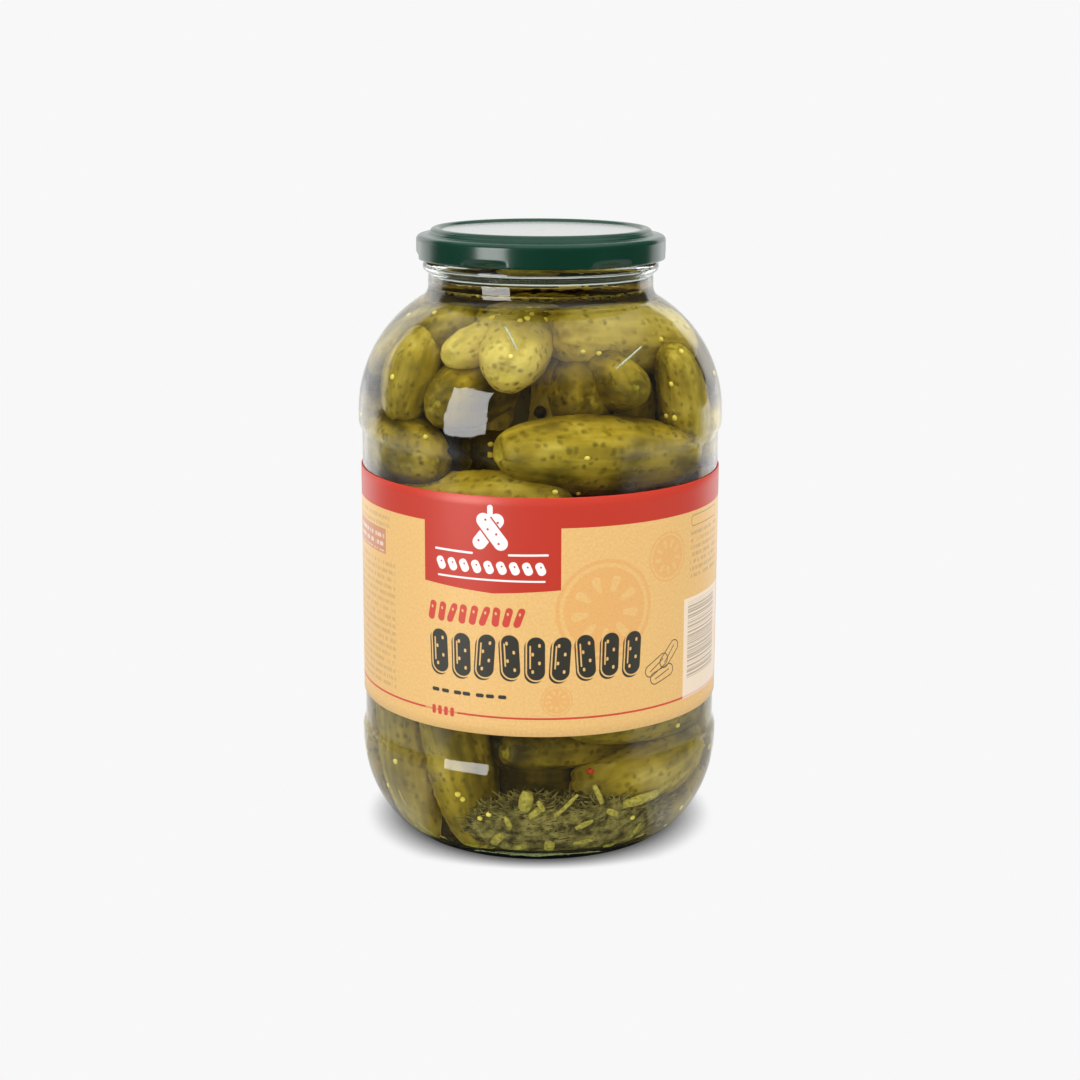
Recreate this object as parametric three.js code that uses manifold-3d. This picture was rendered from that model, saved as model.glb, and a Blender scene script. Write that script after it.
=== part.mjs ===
// A large glass jar of whole gherkins in brine, with a paper label and a twist-off lid.
// Millimetres, +Z up. The origin is the centre of the ring that the jar stands on, and the
// front of the label faces -Y. Azimuths are in degrees from the front, positive towards +X.
import * as THREE from "three";
import { mergeVertices } from "three/addons/utils/BufferGeometryUtils.js";
import Module from "manifold-3d";

const wasm = await Module();
wasm.setup();

// Driving dimensions of the glass
const BODY_RADIUS = 76.8; // shoulder and lower bulge
const PANEL_RADIUS = 75.4; // recessed band for the label
const PANEL_BOTTOM = 47;
const PANEL_TOP = 171;
const WALL = 3.2;
const HEEL = { radius: 44.7, height: 40, halfWidth: 32, halfHeight: 44 }; // centre and half axes
const SHOULDER = { radius: 21.5, height: 180, arc: 55.3 };
const RING_INNER = 54.5; // flat ring that the jar stands on
const RING_OUTER = 58.6;
const PUSH_UP = 4.5; // height of the hollow under the base
const BASE_THICKNESS = 6;
const NECK_RADIUS = 47.1;
const NECK_FILLET = 6;
const NECK_TOP = 238;
const BEAD_RADIUS = 49.35; // glass bead just under the lid
const BEAD_HEIGHT = 240.6;
const FINISH_RADIUS = 47.3; // glass inside the lid
const RIM_TOP = 252.2;
const JAR_SEGMENTS = 48;

// Driving dimensions of the lid
const LID_RADIUS = 52;
const LID_BOTTOM = 243.5;
const LID_TOP = 256.3; // crest of the raised bead
const LEDGE_HEIGHT = 253.6;
const DISC_RADIUS = 41.3; // sunk panel inside the bead
const DISC_HEIGHT = 255;
const SHEET = 0.8;
const LUGS = 6;
const LUG_DEPTH = 1.5;
const LUG_WIDTH = 22; // degrees of the skirt that one lug takes
const LUG_AZIMUTH = 34;
const LID_SEGMENTS = 48;

// Driving dimensions of the label
const LABEL_RADIUS = 76.05;
const LABEL_THICKNESS = 0.35;
const LABEL_BOTTOM = 59.4;
const LABEL_TOP = 157.3;

// Driving dimensions of the contents
const CLEARANCE = 0.45; // between the contents and the glass
const CONTENTS_TOP = 227;
const GHERKIN_SIDES = 7;
const GHERKIN_STEPS = 6;
const BLUNTNESS = 0.62; // below 1 makes the ends of a gherkin blunter than an ellipse's
const SEED_RADIUS = 1.25;
const PEPPERCORN_RADIUS = 2.4;

// A point by its azimuth, its distance from the axis and its height.
function place([azimuth, radius, height]) {
  const angle = THREE.MathUtils.degToRad(azimuth);
  return new THREE.Vector3(radius * Math.sin(angle), -radius * Math.cos(angle), height);
}

// Points on an elliptical arc in the (radius, height) half plane, angles in degrees.
function arc(radius, height, halfWidth, halfHeight, from, to, steps) {
  return Array.from({ length: steps + 1 }, (_, i) => {
    const angle = THREE.MathUtils.degToRad(from + ((to - from) * i) / steps);
    const r = radius + halfWidth * Math.cos(angle);
    return new THREE.Vector2(r, height + halfHeight * Math.sin(angle));
  });
}

function corners(...pairs) {
  return pairs.map(([r, z]) => new THREE.Vector2(r, z));
}

// A closed mesh: shared corners merged, and the flat triangles at the poles dropped.
function sealed(geometry) {
  geometry.deleteAttribute("normal");
  geometry.deleteAttribute("uv");
  const merged = mergeVertices(geometry, 1e-4);
  const old = merged.getIndex().array;
  const kept = [];
  for (let i = 0; i < old.length; i += 3) {
    const [a, b, c] = [old[i], old[i + 1], old[i + 2]];
    if (a !== b && b !== c && c !== a) kept.push(a, b, c);
  }
  merged.setIndex(kept);
  return merged;
}

// A profile turned about +Z. The profile runs up the outside and back down the inside.
function turned(profile, segments) {
  const geometry = new THREE.LatheGeometry(profile, segments);
  geometry.rotateX(Math.PI / 2);
  return sealed(geometry);
}

function toSolid(geometry) {
  return new wasm.Manifold(
    new wasm.Mesh({
      numProp: 3,
      vertProperties: new Float32Array(geometry.getAttribute("position").array),
      triVerts: new Uint32Array(geometry.getIndex().array),
    })
  );
}

function toGeometry(solid) {
  const mesh = solid.getMesh();
  const geometry = new THREE.BufferGeometry();
  geometry.setAttribute("position", new THREE.BufferAttribute(mesh.vertProperties, 3));
  geometry.setIndex(new THREE.BufferAttribute(mesh.triVerts, 1));
  return geometry;
}

function joined(solids) {
  return solids.reduce((whole, next) => whole.add(next));
}

function largest(solid) {
  return solid.decompose().sort((a, b) => b.volume() - a.volume())[0];
}

// The glass: a ring to stand on, a rounded heel, a lower bulge, a recessed band for the label,
// a round shoulder, a short neck with a bead, and a plain finish inside the lid.
const NECK_ANGLE = 58.9; // how far round the shoulder the neck's fillet starts

function heel(inset, from, steps) {
  const { radius, height, halfWidth, halfHeight } = HEEL;
  return arc(radius, height, halfWidth - inset, halfHeight - inset, from, 0, steps);
}

function shoulder(inset, steps) {
  const { radius, height, arc: size } = SHOULDER;
  return arc(radius, height, size - inset, size - inset, 0, NECK_ANGLE, steps);
}

function neckFillet(inset, steps) {
  const size = NECK_FILLET + inset;
  const centre = NECK_RADIUS + NECK_FILLET;
  const lift = NECK_FILLET * Math.sin(THREE.MathUtils.degToRad(NECK_ANGLE));
  const foot = SHOULDER.height + SHOULDER.arc * Math.sin(THREE.MathUtils.degToRad(NECK_ANGLE));
  return arc(centre, foot + lift, size, size, 180 + NECK_ANGLE, 180, steps);
}

function outerWall() {
  return [
    ...heel(0, -63, 6),
    ...corners([BODY_RADIUS - 0.1, 42.5], [PANEL_RADIUS + 0.3, PANEL_BOTTOM - 1]),
    ...corners([PANEL_RADIUS, PANEL_BOTTOM + 1], [PANEL_RADIUS, PANEL_TOP]),
    ...corners([PANEL_RADIUS + 0.5, PANEL_TOP + 1.6], [BODY_RADIUS - 0.2, PANEL_TOP + 4.5]),
    ...shoulder(0, 7),
    ...neckFillet(0, 3).slice(1),
    ...corners([NECK_RADIUS, NECK_TOP], [BEAD_RADIUS - 0.6, NECK_TOP + 1.1]),
    ...corners([BEAD_RADIUS, BEAD_HEIGHT], [BEAD_RADIUS - 0.5, BEAD_HEIGHT + 1.1]),
    ...corners([FINISH_RADIUS, BEAD_HEIGHT + 2]),
  ];
}

// The inner wall from the floor up to the rim, moved inwards by a clearance.
function innerWall(clearance) {
  const inset = WALL + clearance;
  const floor = PUSH_UP + BASE_THICKNESS + clearance;
  return [
    ...corners([0, floor], [44, floor - 2.4]),
    ...heel(inset + 0.3, -49, 3),
    ...corners([PANEL_RADIUS - inset + 0.2, PANEL_BOTTOM + 1]),
    ...corners([PANEL_RADIUS - inset + 0.2, PANEL_TOP]),
    ...shoulder(inset, 5),
    ...neckFillet(inset, 2).slice(1),
  ];
}

function glassJar() {
  const bore = NECK_RADIUS - WALL;
  const underside = corners([0, PUSH_UP], [46, PUSH_UP - 0.4], [52, 1.6], [RING_INNER, 0]);
  const rim = corners(
    [FINISH_RADIUS, RIM_TOP - 1.6],
    [FINISH_RADIUS - 0.7, RIM_TOP - 0.3],
    [(FINISH_RADIUS + bore) / 2, RIM_TOP],
    [bore + 0.7, RIM_TOP - 0.3],
    [bore, RIM_TOP - 1.6]
  );
  const outside = [...underside, ...corners([RING_OUTER, 0]), ...outerWall(), ...rim];
  return turned([...outside, ...innerWall(0).reverse()], JAR_SEGMENTS);
}

// The lid: pressed sheet with a curled edge, a ledge, a raised bead and a sunk centre panel.
// The curl is pressed in at six places, which are the lugs that hold on the glass.
function lid() {
  const inside = LID_RADIUS - SHEET;
  const outer = corners(
    [LID_RADIUS - 1.7, LID_BOTTOM + 0.5],
    [LID_RADIUS - 0.9, LID_BOTTOM],
    [LID_RADIUS, LID_BOTTOM + 0.9],
    [LID_RADIUS, LEDGE_HEIGHT - 2.4],
    [LID_RADIUS - 0.5, LEDGE_HEIGHT - 0.9],
    [LID_RADIUS - 1.5, LEDGE_HEIGHT - 0.2],
    [LID_RADIUS - 4.8, LEDGE_HEIGHT + 0.3],
    [LID_RADIUS - 5.9, LID_TOP - 1],
    [LID_RADIUS - 7.2, LID_TOP],
    [LID_RADIUS - 9.2, LID_TOP - 0.2],
    [DISC_RADIUS, DISC_HEIGHT],
    [0, DISC_HEIGHT]
  );
  const inner = corners(
    [0, DISC_HEIGHT - SHEET],
    [DISC_RADIUS + 0.4, DISC_HEIGHT - SHEET],
    [inside - 3.8, LEDGE_HEIGHT - 0.5],
    [inside - 1, LEDGE_HEIGHT - 1.2],
    [inside, LEDGE_HEIGHT - 2.8],
    [inside, LID_BOTTOM + 2.4],
    [inside - 0.9, LID_BOTTOM + 1.9]
  );
  const geometry = turned([...outer, ...inner, outer[0].clone()], LID_SEGMENTS);
  pressLugs(geometry);
  return geometry;
}

function pressLugs(geometry) {
  const position = geometry.getAttribute("position");
  const point = new THREE.Vector3();
  for (let i = 0; i < position.count; i += 1) {
    point.fromBufferAttribute(position, i);
    if (point.z > LID_BOTTOM + 2) continue;
    const azimuth = THREE.MathUtils.radToDeg(Math.atan2(point.x, -point.y));
    const pitch = 360 / LUGS;
    const away = THREE.MathUtils.euclideanModulo(azimuth - LUG_AZIMUTH + pitch / 2, pitch) - pitch / 2;
    const press = Math.max(0, 1 - (2 * Math.abs(away)) / LUG_WIDTH);
    const radius = Math.hypot(point.x, point.y);
    const share = radius > LID_RADIUS - 0.5 ? 0.35 : 1;
    const scale = 1 - (LUG_DEPTH * share * Math.sqrt(press)) / radius;
    position.setXY(i, point.x * scale, point.y * scale);
  }
}

// The label: a paper wrap round the recessed band.
function label() {
  const inner = LABEL_RADIUS - LABEL_THICKNESS;
  const section = [[inner, LABEL_BOTTOM], [LABEL_RADIUS, LABEL_BOTTOM], [LABEL_RADIUS, LABEL_TOP]];
  return turned(corners(...section, [inner, LABEL_TOP], [inner, LABEL_BOTTOM]), JAR_SEGMENTS);
}

// The gherkins that show: the place of each end, as azimuth, distance from the axis and height,
// then the thickest radius and how far the middle bows outwards.
const FRONT_GHERKINS = [
  { ends: [[6, 36, 211], [95, 56, 203]], girth: 14.6, bow: 2 },
  { ends: [[-12, 61, 203], [20, -10, 212]], girth: 14.4, bow: 0 },
  { ends: [[-38, 57, 206], [40, 10, 214]], girth: 10.5, bow: 0 },
  { ends: [[-34, 40, 219], [-92, 62, 196]], girth: 12, bow: 2 },
  { ends: [[-57, 62, 180], [-62, 48, 214]], girth: 12.5, bow: 1 },
  { ends: [[-37, 66, 189], [-60, -6, 195]], girth: 14, bow: 0 },
  { ends: [[34, 67, 197], [60, 5, 193]], girth: 11.5, bow: 0 },
  { ends: [[60, 58, 208], [66, 60, 166]], girth: 12, bow: 1 },
  { ends: [[20, 52, 190], [0, -12, 190]], girth: 14, bow: 0 },
  { ends: [[-14, 66, 174], [68, 66, 166]], girth: 14.8, bow: 5 },
  { ends: [[-36, 66, 167], [-110, 66, 172]], girth: 15, bow: 4 },
  { ends: [[-58, 64, 146], [10, 64, 152]], girth: 15, bow: 3 },
  { ends: [[-45, 56, 92], [-26, 57, 13]], girth: 13.8, bow: 1.5 },
  { ends: [[-66, 56, 90], [-78, 53, 14]], girth: 13.5, bow: 2 },
  { ends: [[-12, 64, 50], [60, 48, 44]], girth: 12, bow: 0 },
  { ends: [[14, 62, 27], [76, 66, 38]], girth: 13.5, bow: 3 },
  { ends: [[8, 64, 66], [72, 66, 58]], girth: 13.8, bow: 2.5 },
];

// The rest go round the sides and the back in even rings, each turned a little from the last.
function sway(index, amount) {
  return amount * Math.sin(2.4 * index + 0.7);
}

function ring(count, from, step, describe) {
  return Array.from({ length: count }, (_, i) => describe(from + step * i, i));
}

const OTHER_GHERKINS = [
  ...ring(3, 78, 54, (a, i) => ({
    ends: [[a, 64, 168 + sway(i, 3)], [a + 60, 64, 168 - sway(i, 4)]], girth: 14 + sway(i, 0.8), bow: 1.5,
  })),
  ...ring(6, 92, 30, (a, i) => ({
    ends: [[a, 66, 186 + sway(i, 3)], [a + sway(i, 14), 34, 211 + sway(i, 3)]], girth: 13, bow: 1,
  })),
  ...ring(3, 98, 56, (a, i) => ({
    ends: [[a, 44, 213 + sway(i, 2)], [a + 66, 44, 213 - sway(i, 2)]], girth: 11.5, bow: 3,
  })),
  ...ring(7, 90, 27, (a, i) => ({
    ends: [[a, 56, 84 + sway(i, 6)], [a + sway(i, 9), 54, 14]], girth: 13.6 + sway(i, 0.7), bow: 1.5,
  })),
];

const GHERKINS = [...FRONT_GHERKINS, ...OTHER_GHERKINS];

// One gherkin: a blunt spindle between its two ends, bowed away from the axis of the jar.
function gherkin({ ends, girth, bow }) {
  const [start, end] = ends.map(place);
  const middle = start.clone().add(end).multiplyScalar(0.5);
  const length = start.distanceTo(end);
  const profile = Array.from({ length: GHERKIN_STEPS + 1 }, (_, i) => {
    const angle = (Math.PI * i) / GHERKIN_STEPS;
    const radius = i % GHERKIN_STEPS === 0 ? 0 : girth * Math.sin(angle) ** BLUNTNESS;
    return new THREE.Vector2(radius, (-Math.cos(angle) * length) / 2);
  });
  const geometry = new THREE.LatheGeometry(profile, GHERKIN_SIDES);
  const outwards = new THREE.Vector3(middle.x, middle.y, 0).normalize();
  const along = end.clone().sub(start).normalize();
  const side = outwards.clone().addScaledVector(along, -outwards.dot(along)).normalize();
  const across = new THREE.Vector3().crossVectors(side, along);
  const position = geometry.getAttribute("position");
  for (let i = 0; i < position.count; i += 1) {
    const share = (2 * position.getY(i)) / length;
    position.setX(i, position.getX(i) + bow * (1 - share * share));
  }
  geometry.applyMatrix4(new THREE.Matrix4().makeBasis(side, along, across));
  geometry.translate(middle.x, middle.y, middle.z);
  return toSolid(sealed(geometry));
}

// How far the contents reach from the axis at an azimuth and height, by stepping inwards from
// the glass until a gherkin is met.
function reach(azimuth, height, from) {
  const point = new THREE.Vector3();
  const nearest = new THREE.Vector3();
  for (let radius = from; radius > 20; radius -= 0.5) {
    point.copy(place([azimuth, radius, height]));
    const met = GHERKINS.some(({ ends, girth }) => {
      const axis = new THREE.Line3(...ends.map(place));
      const share = THREE.MathUtils.clamp(axis.closestPointToPointParameter(point, true), 0.12, 0.88);
      return axis.at(share, nearest).distanceTo(point) < girth * 0.9;
    });
    if (met) return radius;
  }
  return 0;
}

// Mustard seeds lie in clusters on the gherkins, as azimuth and height.
const SEED_CLUSTERS = [
  { centre: [8, 216], count: 4 },
  { centre: [30, 211], count: 2 },
  { centre: [55, 203], count: 2 },
  { centre: [-10, 205], count: 2 },
  { centre: [25, 172], count: 2 },
  { centre: [-60, 196], count: 2 },
  { centre: [-32, 26], count: 3 },
  { centre: [45, 28], count: 2 },
  { centre: [150, 200], count: 2 },
  { centre: [240, 196], count: 2 },
  { centre: [130, 30], count: 2 },
  { centre: [230, 30], count: 2 },
];

function pellet(azimuth, height, size, detail) {
  const radius = reach(azimuth, height, 70);
  const geometry = new THREE.IcosahedronGeometry(size, detail);
  const spot = place([azimuth, radius + size * 0.2, height]);
  geometry.translate(spot.x, spot.y, spot.z);
  return toSolid(sealed(geometry));
}

function seeds() {
  return SEED_CLUSTERS.flatMap(({ centre, count }) =>
    Array.from({ length: count }, (_, i) => {
      const turn = 2.4 * i + centre[0];
      return pellet(centre[0] + 6 * Math.cos(turn), centre[1] + 5 * Math.sin(turn), SEED_RADIUS, 0);
    })
  );
}

// The space inside the glass, less a clearance.
function cavity() {
  const wall = innerWall(CLEARANCE).filter((point) => point.y < CONTENTS_TOP);
  return toSolid(turned([...wall, new THREE.Vector2(0, CONTENTS_TOP)], JAR_SEGMENTS));
}

// The core: what shows between the gherkins, well inside them.
function core() {
  const profile = corners(
    [0, 12], [40, 16], [52, 34], [58, 62], [58, 150], [50, 176], [40, 200], [22, 214], [0, 216]
  );
  return toSolid(turned(profile, GHERKIN_SIDES * 2));
}

// The bed of dill: a lumpy mat of stems and threads that lies on the floor against the front.
const DILL = { azimuth: 12, radius: 62, height: 20, spread: 37, depth: 9.5, rise: 15 };
const DILL_LUMP = 0.16;

function dillMat(grow) {
  const geometry = new THREE.SphereGeometry(1, 22, 12);
  const position = geometry.getAttribute("position");
  for (let i = 0; i < position.count; i += 1) {
    const [x, y, z] = [position.getX(i), position.getY(i), position.getZ(i)];
    const lump = 1 + DILL_LUMP * Math.sin(7 * x + 2) * Math.sin(5 * y + 4 * z);
    const spot = place([
      DILL.azimuth + (DILL.spread + grow) * x,
      DILL.radius + (DILL.depth + grow) * z * lump,
      DILL.height + (DILL.rise + grow) * y * lump,
    ]);
    position.setXYZ(i, spot.x, spot.y, spot.z);
  }
  return toSolid(sealed(geometry));
}

// Chopped stems that stick out of the mat: azimuth, height, length and lean in degrees.
const STEMS = [
  [-3, 27, 10, 70], [0, 20, 9, 55], [22, 30, 9, -60], [34, 27, 16, 10],
  [14, 14, 10, 40], [-14, 15, 9, 80], [26, 16, 8, 30], [8, 24, 8, -20],
];

function stem([azimuth, height, length, lean]) {
  const geometry = new THREE.CylinderGeometry(1.7, 2.2, length, 6);
  geometry.rotateZ(THREE.MathUtils.degToRad(lean));
  geometry.rotateX(Math.PI / 2);
  geometry.rotateZ(THREE.MathUtils.degToRad(azimuth));
  const spot = place([azimuth, 66.5 - 0.018 * (40 - height) ** 2, height]);
  geometry.translate(spot.x, spot.y, spot.z);
  return toSolid(sealed(geometry));
}

const inside = cavity();
const dillBed = largest(joined([dillMat(0), ...STEMS.map(stem)]).intersect(inside));
const dillRoom = joined([dillMat(0.6), ...STEMS.map(stem)]);
const peppercorn = pellet(0, 191, PEPPERCORN_RADIUS, 1);
const heap = joined([core(), ...GHERKINS.map(gherkin), ...seeds(), peppercorn]);
const pickles = largest(heap.intersect(inside).subtract(dillRoom));

function piece(name, geometry, color, roughness, metalness) {
  const material = new THREE.MeshStandardMaterial({ color, roughness, metalness });
  const mesh = new THREE.Mesh(geometry, material);
  mesh.name = name;
  return mesh;
}

const jar = new THREE.Group();
jar.add(
  piece("glass_jar", glassJar(), 0xc9d3b4, 0.05, 0),
  piece("lid", lid(), 0x0f4a33, 0.3, 0.1),
  piece("label", label(), 0xf0c887, 0.6, 0),
  piece("pickles", toGeometry(pickles), 0x6e6a22, 0.5, 0),
  piece("dill_bed", toGeometry(dillBed), 0x5a4f22, 0.8, 0)
);

export default jar;
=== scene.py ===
import math

import bpy
import numpy as np
from mathutils import Matrix, Vector
from mathutils.bvhtree import BVHTree


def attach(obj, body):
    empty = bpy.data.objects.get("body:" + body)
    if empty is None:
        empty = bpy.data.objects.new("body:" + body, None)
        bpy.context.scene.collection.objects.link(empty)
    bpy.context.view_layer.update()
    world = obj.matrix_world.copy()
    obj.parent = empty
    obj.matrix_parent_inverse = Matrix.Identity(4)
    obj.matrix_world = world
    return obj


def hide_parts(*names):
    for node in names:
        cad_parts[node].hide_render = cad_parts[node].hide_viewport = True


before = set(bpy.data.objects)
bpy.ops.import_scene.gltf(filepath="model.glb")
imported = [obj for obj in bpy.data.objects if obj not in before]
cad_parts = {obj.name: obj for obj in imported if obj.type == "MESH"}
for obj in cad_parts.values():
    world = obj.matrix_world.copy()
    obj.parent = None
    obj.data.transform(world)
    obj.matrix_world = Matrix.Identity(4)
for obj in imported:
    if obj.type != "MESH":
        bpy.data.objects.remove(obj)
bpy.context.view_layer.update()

# The view. The jar is seen from in front and a little above its lid through a long lens, whose
# frame is moved down by a twentieth of its width so that the jar stands upright in the middle.
MM = 0.001
PICTURE = 1080
CAMERA_PLACE = Vector((0, -0.842, 0.3265))
CAMERA_PITCH = math.radians(12.107)
CAMERA_ROLL = math.radians(0.2156)
SENSOR = 36
LENS = 67.09
SHIFT_DOWN = 0.05

camera = bpy.data.objects.new("camera", bpy.data.cameras.new("camera"))
camera.data.sensor_width = SENSOR
camera.data.lens = LENS
camera.data.shift_y = -SHIFT_DOWN
look = Matrix.Rotation(math.pi / 2 - CAMERA_PITCH, 4, "X") @ Matrix.Rotation(CAMERA_ROLL, 4, "Z")
camera.matrix_world = Matrix.Translation(CAMERA_PLACE) @ look
bpy.context.scene.collection.objects.link(camera)
bpy.context.scene.camera = camera
bpy.context.scene.view_settings.view_transform = "Standard"


# The glass jar: colourless soda-lime glass, blown in a mould. It stands on a ring round a hollow
# base, and has a recessed band for the label, a round shoulder and a short neck with a bead.
BODY_RADIUS = 76.8
PANEL_RADIUS = 75.4
PANEL_BOTTOM = 47
PANEL_TOP = 171
WALL = 3.2
HEEL = {"radius": 44.7, "height": 40, "half_width": 32, "half_height": 44}
SHOULDER = {"radius": 21.5, "height": 180, "arc": 55.3}
RING_INNER = 54.5
RING_OUTER = 58.6
PUSH_UP = 4.5
BASE_THICKNESS = 4.2
NECK_RADIUS = 47.1
NECK_FILLET = 6
NECK_ANGLE = 58.9
NECK_TOP = 238
BEAD_RADIUS = 49.35
BEAD_HEIGHT = 240.6
FINISH_RADIUS = 47.3
RIM_TOP = 252.2
RIM_ROUNDING = 1.7
BEAD_ROUNDING = 2.4
BRINE_LEVEL = 235.4
BRINE_IOR = 1.34
GLASS_COLUMNS = 270
FLOOR_STEPS = 12
PUSH_UP_EDGE = 46
WET_EDGE = 0.5


def linear(hex_colour):
    """An sRGB hex value as linear red, green, blue and an alpha of 1."""
    levels = [int(hex_colour[i:i + 2], 16) / 255 for i in (1, 3, 5)]
    return [v / 12.92 if v <= 0.04045 else ((v + 0.055) / 1.055) ** 2.4 for v in levels] + [1]


def arc(centre, half, start, stop, steps):
    """Points of an elliptical arc: centre plus half axes times (cos, sin) of an even angle."""
    angle = np.radians(np.linspace(start, stop, steps + 1))
    return np.stack([centre[0] + half[0] * np.cos(angle), centre[1] + half[1] * np.sin(angle)], 1)


def ease(lower, upper, steps):
    """Points from lower to upper whose radius follows half a cosine wave over the height."""
    share = np.linspace(0, 1, steps + 1)[:, None]
    blend = np.hstack([(1 - np.cos(math.pi * share)) / 2, share])
    return np.array(lower) + (np.array(upper) - np.array(lower)) * blend


def line(start, stop, steps):
    """Evenly spaced points from start to stop."""
    share = np.linspace(0, 1, steps + 1)[:, None]
    return np.array(start) + (np.array(stop) - np.array(start)) * share


def chain(*parts):
    """Stretches of a profile end to end, with a point that repeats the last one dropped."""
    points = np.vstack([np.atleast_2d(part) for part in parts])
    step = np.linalg.norm(np.diff(points, axis=0), axis=1)
    return points[np.concatenate([[True], step > 1e-4])]


def turned(profile, columns):
    """Rings (radius sin a, -radius cos a, height) of a profile in mm turned about Z, in metres."""
    angle = np.linspace(0, 2 * math.pi, columns, endpoint=False)[None, :]
    radius = np.maximum(profile[:, :1], 1e-3)
    height = np.broadcast_to(profile[:, 1:], (len(profile), columns))
    return np.stack([radius * np.sin(angle), -radius * np.cos(angle), height], 2) * MM


def piece_of(name, points, faces):
    """A smooth mesh object from points in metres and faces, put in the scene."""
    mesh = bpy.data.meshes.new(name)
    mesh.from_pydata(points.tolist(), [], faces)
    mesh.shade_smooth()
    piece = bpy.data.objects.new(name, mesh)
    bpy.context.scene.collection.objects.link(piece)
    return piece


def surface(name, rings, closed=False):
    """A smooth closed mesh from rings of points, rows x columns x 3. Each ring joins its own end;
    the last row joins the first where closed, and otherwise a fan of triangles shuts each end."""
    rows, columns = rings.shape[:2]
    grid = np.arange(rows * columns).reshape(rows, columns)
    upper = np.roll(grid, -1, 0) if closed else grid[1:]
    lower = grid if closed else grid[:-1]
    quads = np.stack([lower, np.roll(lower, -1, 1), np.roll(upper, -1, 1), upper], 2).reshape(-1, 4)
    points = rings.reshape(-1, 3)
    faces = quads.tolist()
    if not closed:
        first, last = len(points), len(points) + 1
        points = np.vstack([points, rings[0].mean(0), rings[-1].mean(0)])
        start, stop = grid[0], grid[-1]
        faces += np.stack([np.roll(start, -1), start, np.full(columns, first)], 1).tolist()
        faces += np.stack([stop, np.roll(stop, -1), np.full(columns, last)], 1).tolist()
    corner = points[quads]
    volume = np.einsum("ij,ij->i", corner[:, 0], np.cross(corner[:, 1], corner[:, 2])).sum()
    volume += np.einsum("ij,ij->i", corner[:, 0], np.cross(corner[:, 2], corner[:, 3])).sum()
    if volume < 0:
        faces = [face[::-1] for face in faces]
    return piece_of(name, points, faces)


def add(tree, kind, inputs=(), **settings):
    """Adds one node. Settings are its properties; inputs gives each socket a value or a link."""
    node = tree.nodes.new(kind)
    for name, value in settings.items():
        setattr(node, name, value)
    for key, value in dict(inputs).items():
        if isinstance(value, bpy.types.NodeSocket):
            tree.links.new(value, node.inputs[key])
        else:
            node.inputs[key].default_value = value
    return node


def finish_of(name):
    """A new node material with nothing in it but its output."""
    material = bpy.data.materials.new(name)
    material.use_nodes = True
    tree = material.node_tree
    tree.nodes.clear()
    return material, tree, add(tree, "ShaderNodeOutputMaterial")


def noise_of(tree, place, scale, detail):
    """A soft noise from 0 to 1 with about scale grains to the metre."""
    return add(tree, "ShaderNodeTexNoise", {
        "Vector": place, "Scale": scale, "Detail": detail}).outputs["Fac"]


def ranged(tree, value, start, stop, low=0.0, high=1.0, kind="LINEAR"):
    """The way of a value from start to stop, as a way from low to high that holds at both ends."""
    return add(tree, "ShaderNodeMapRange", {
        "Value": value, "From Min": start, "From Max": stop, "To Min": low, "To Max": high,
    }, interpolation_type=kind).outputs[0]


def mixed(tree, share, first, second, kind="RGBA"):
    """The first colour or number where share is 0, the second where it is 1, and between."""
    return add(tree, "ShaderNodeMix", {
        "Factor": share, "A": first, "B": second}, data_type=kind).outputs["Result"]


def heel(inset, start, steps):
    """The jar's rounded foot: a quarter of an ellipse, moved inwards by inset."""
    half = (HEEL["half_width"] - inset, HEEL["half_height"] - inset)
    return arc((HEEL["radius"], HEEL["height"]), half, start, 0, steps)


def shoulder(inset, steps):
    """The jar's shoulder: a round arc up to where the neck's fillet starts, moved inwards."""
    size = SHOULDER["arc"] - inset
    return arc((SHOULDER["radius"], SHOULDER["height"]), (size, size), 0, NECK_ANGLE, steps)


def neck_fillet(inset, steps):
    """The hollow curve between shoulder and neck, with its size grown by inset."""
    size = NECK_FILLET + inset
    rise = (SHOULDER["arc"] + NECK_FILLET) * math.sin(math.radians(NECK_ANGLE))
    centre = (NECK_RADIUS + NECK_FILLET, SHOULDER["height"] + rise)
    return arc(centre, (size, size), 180 + NECK_ANGLE, 180, steps)


def inner_wall(out):
    """The inside of the glass from the middle of its floor to under the rim, moved out by out."""
    inset = WALL - out
    floor = PUSH_UP + BASE_THICKNESS - out
    bore = NECK_RADIUS - inset
    band = PANEL_RADIUS - inset - 0.1
    return chain(
        line((0, floor), (40, floor - 0.9), FLOOR_STEPS), heel(inset + 0.3, -58, 30),
        ease((band + 0.4, HEEL["height"] + 1), (band, PANEL_BOTTOM + 3), 8),
        line((band, PANEL_BOTTOM + 4), (band, PANEL_TOP - 3), 8),
        ease((band, PANEL_TOP - 2), (BODY_RADIUS - inset, SHOULDER["height"]), 8),
        shoulder(inset, 40), neck_fillet(inset, 12),
        line((bore, NECK_TOP - 8), (bore, RIM_TOP - 1.6), 10),
    )


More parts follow.
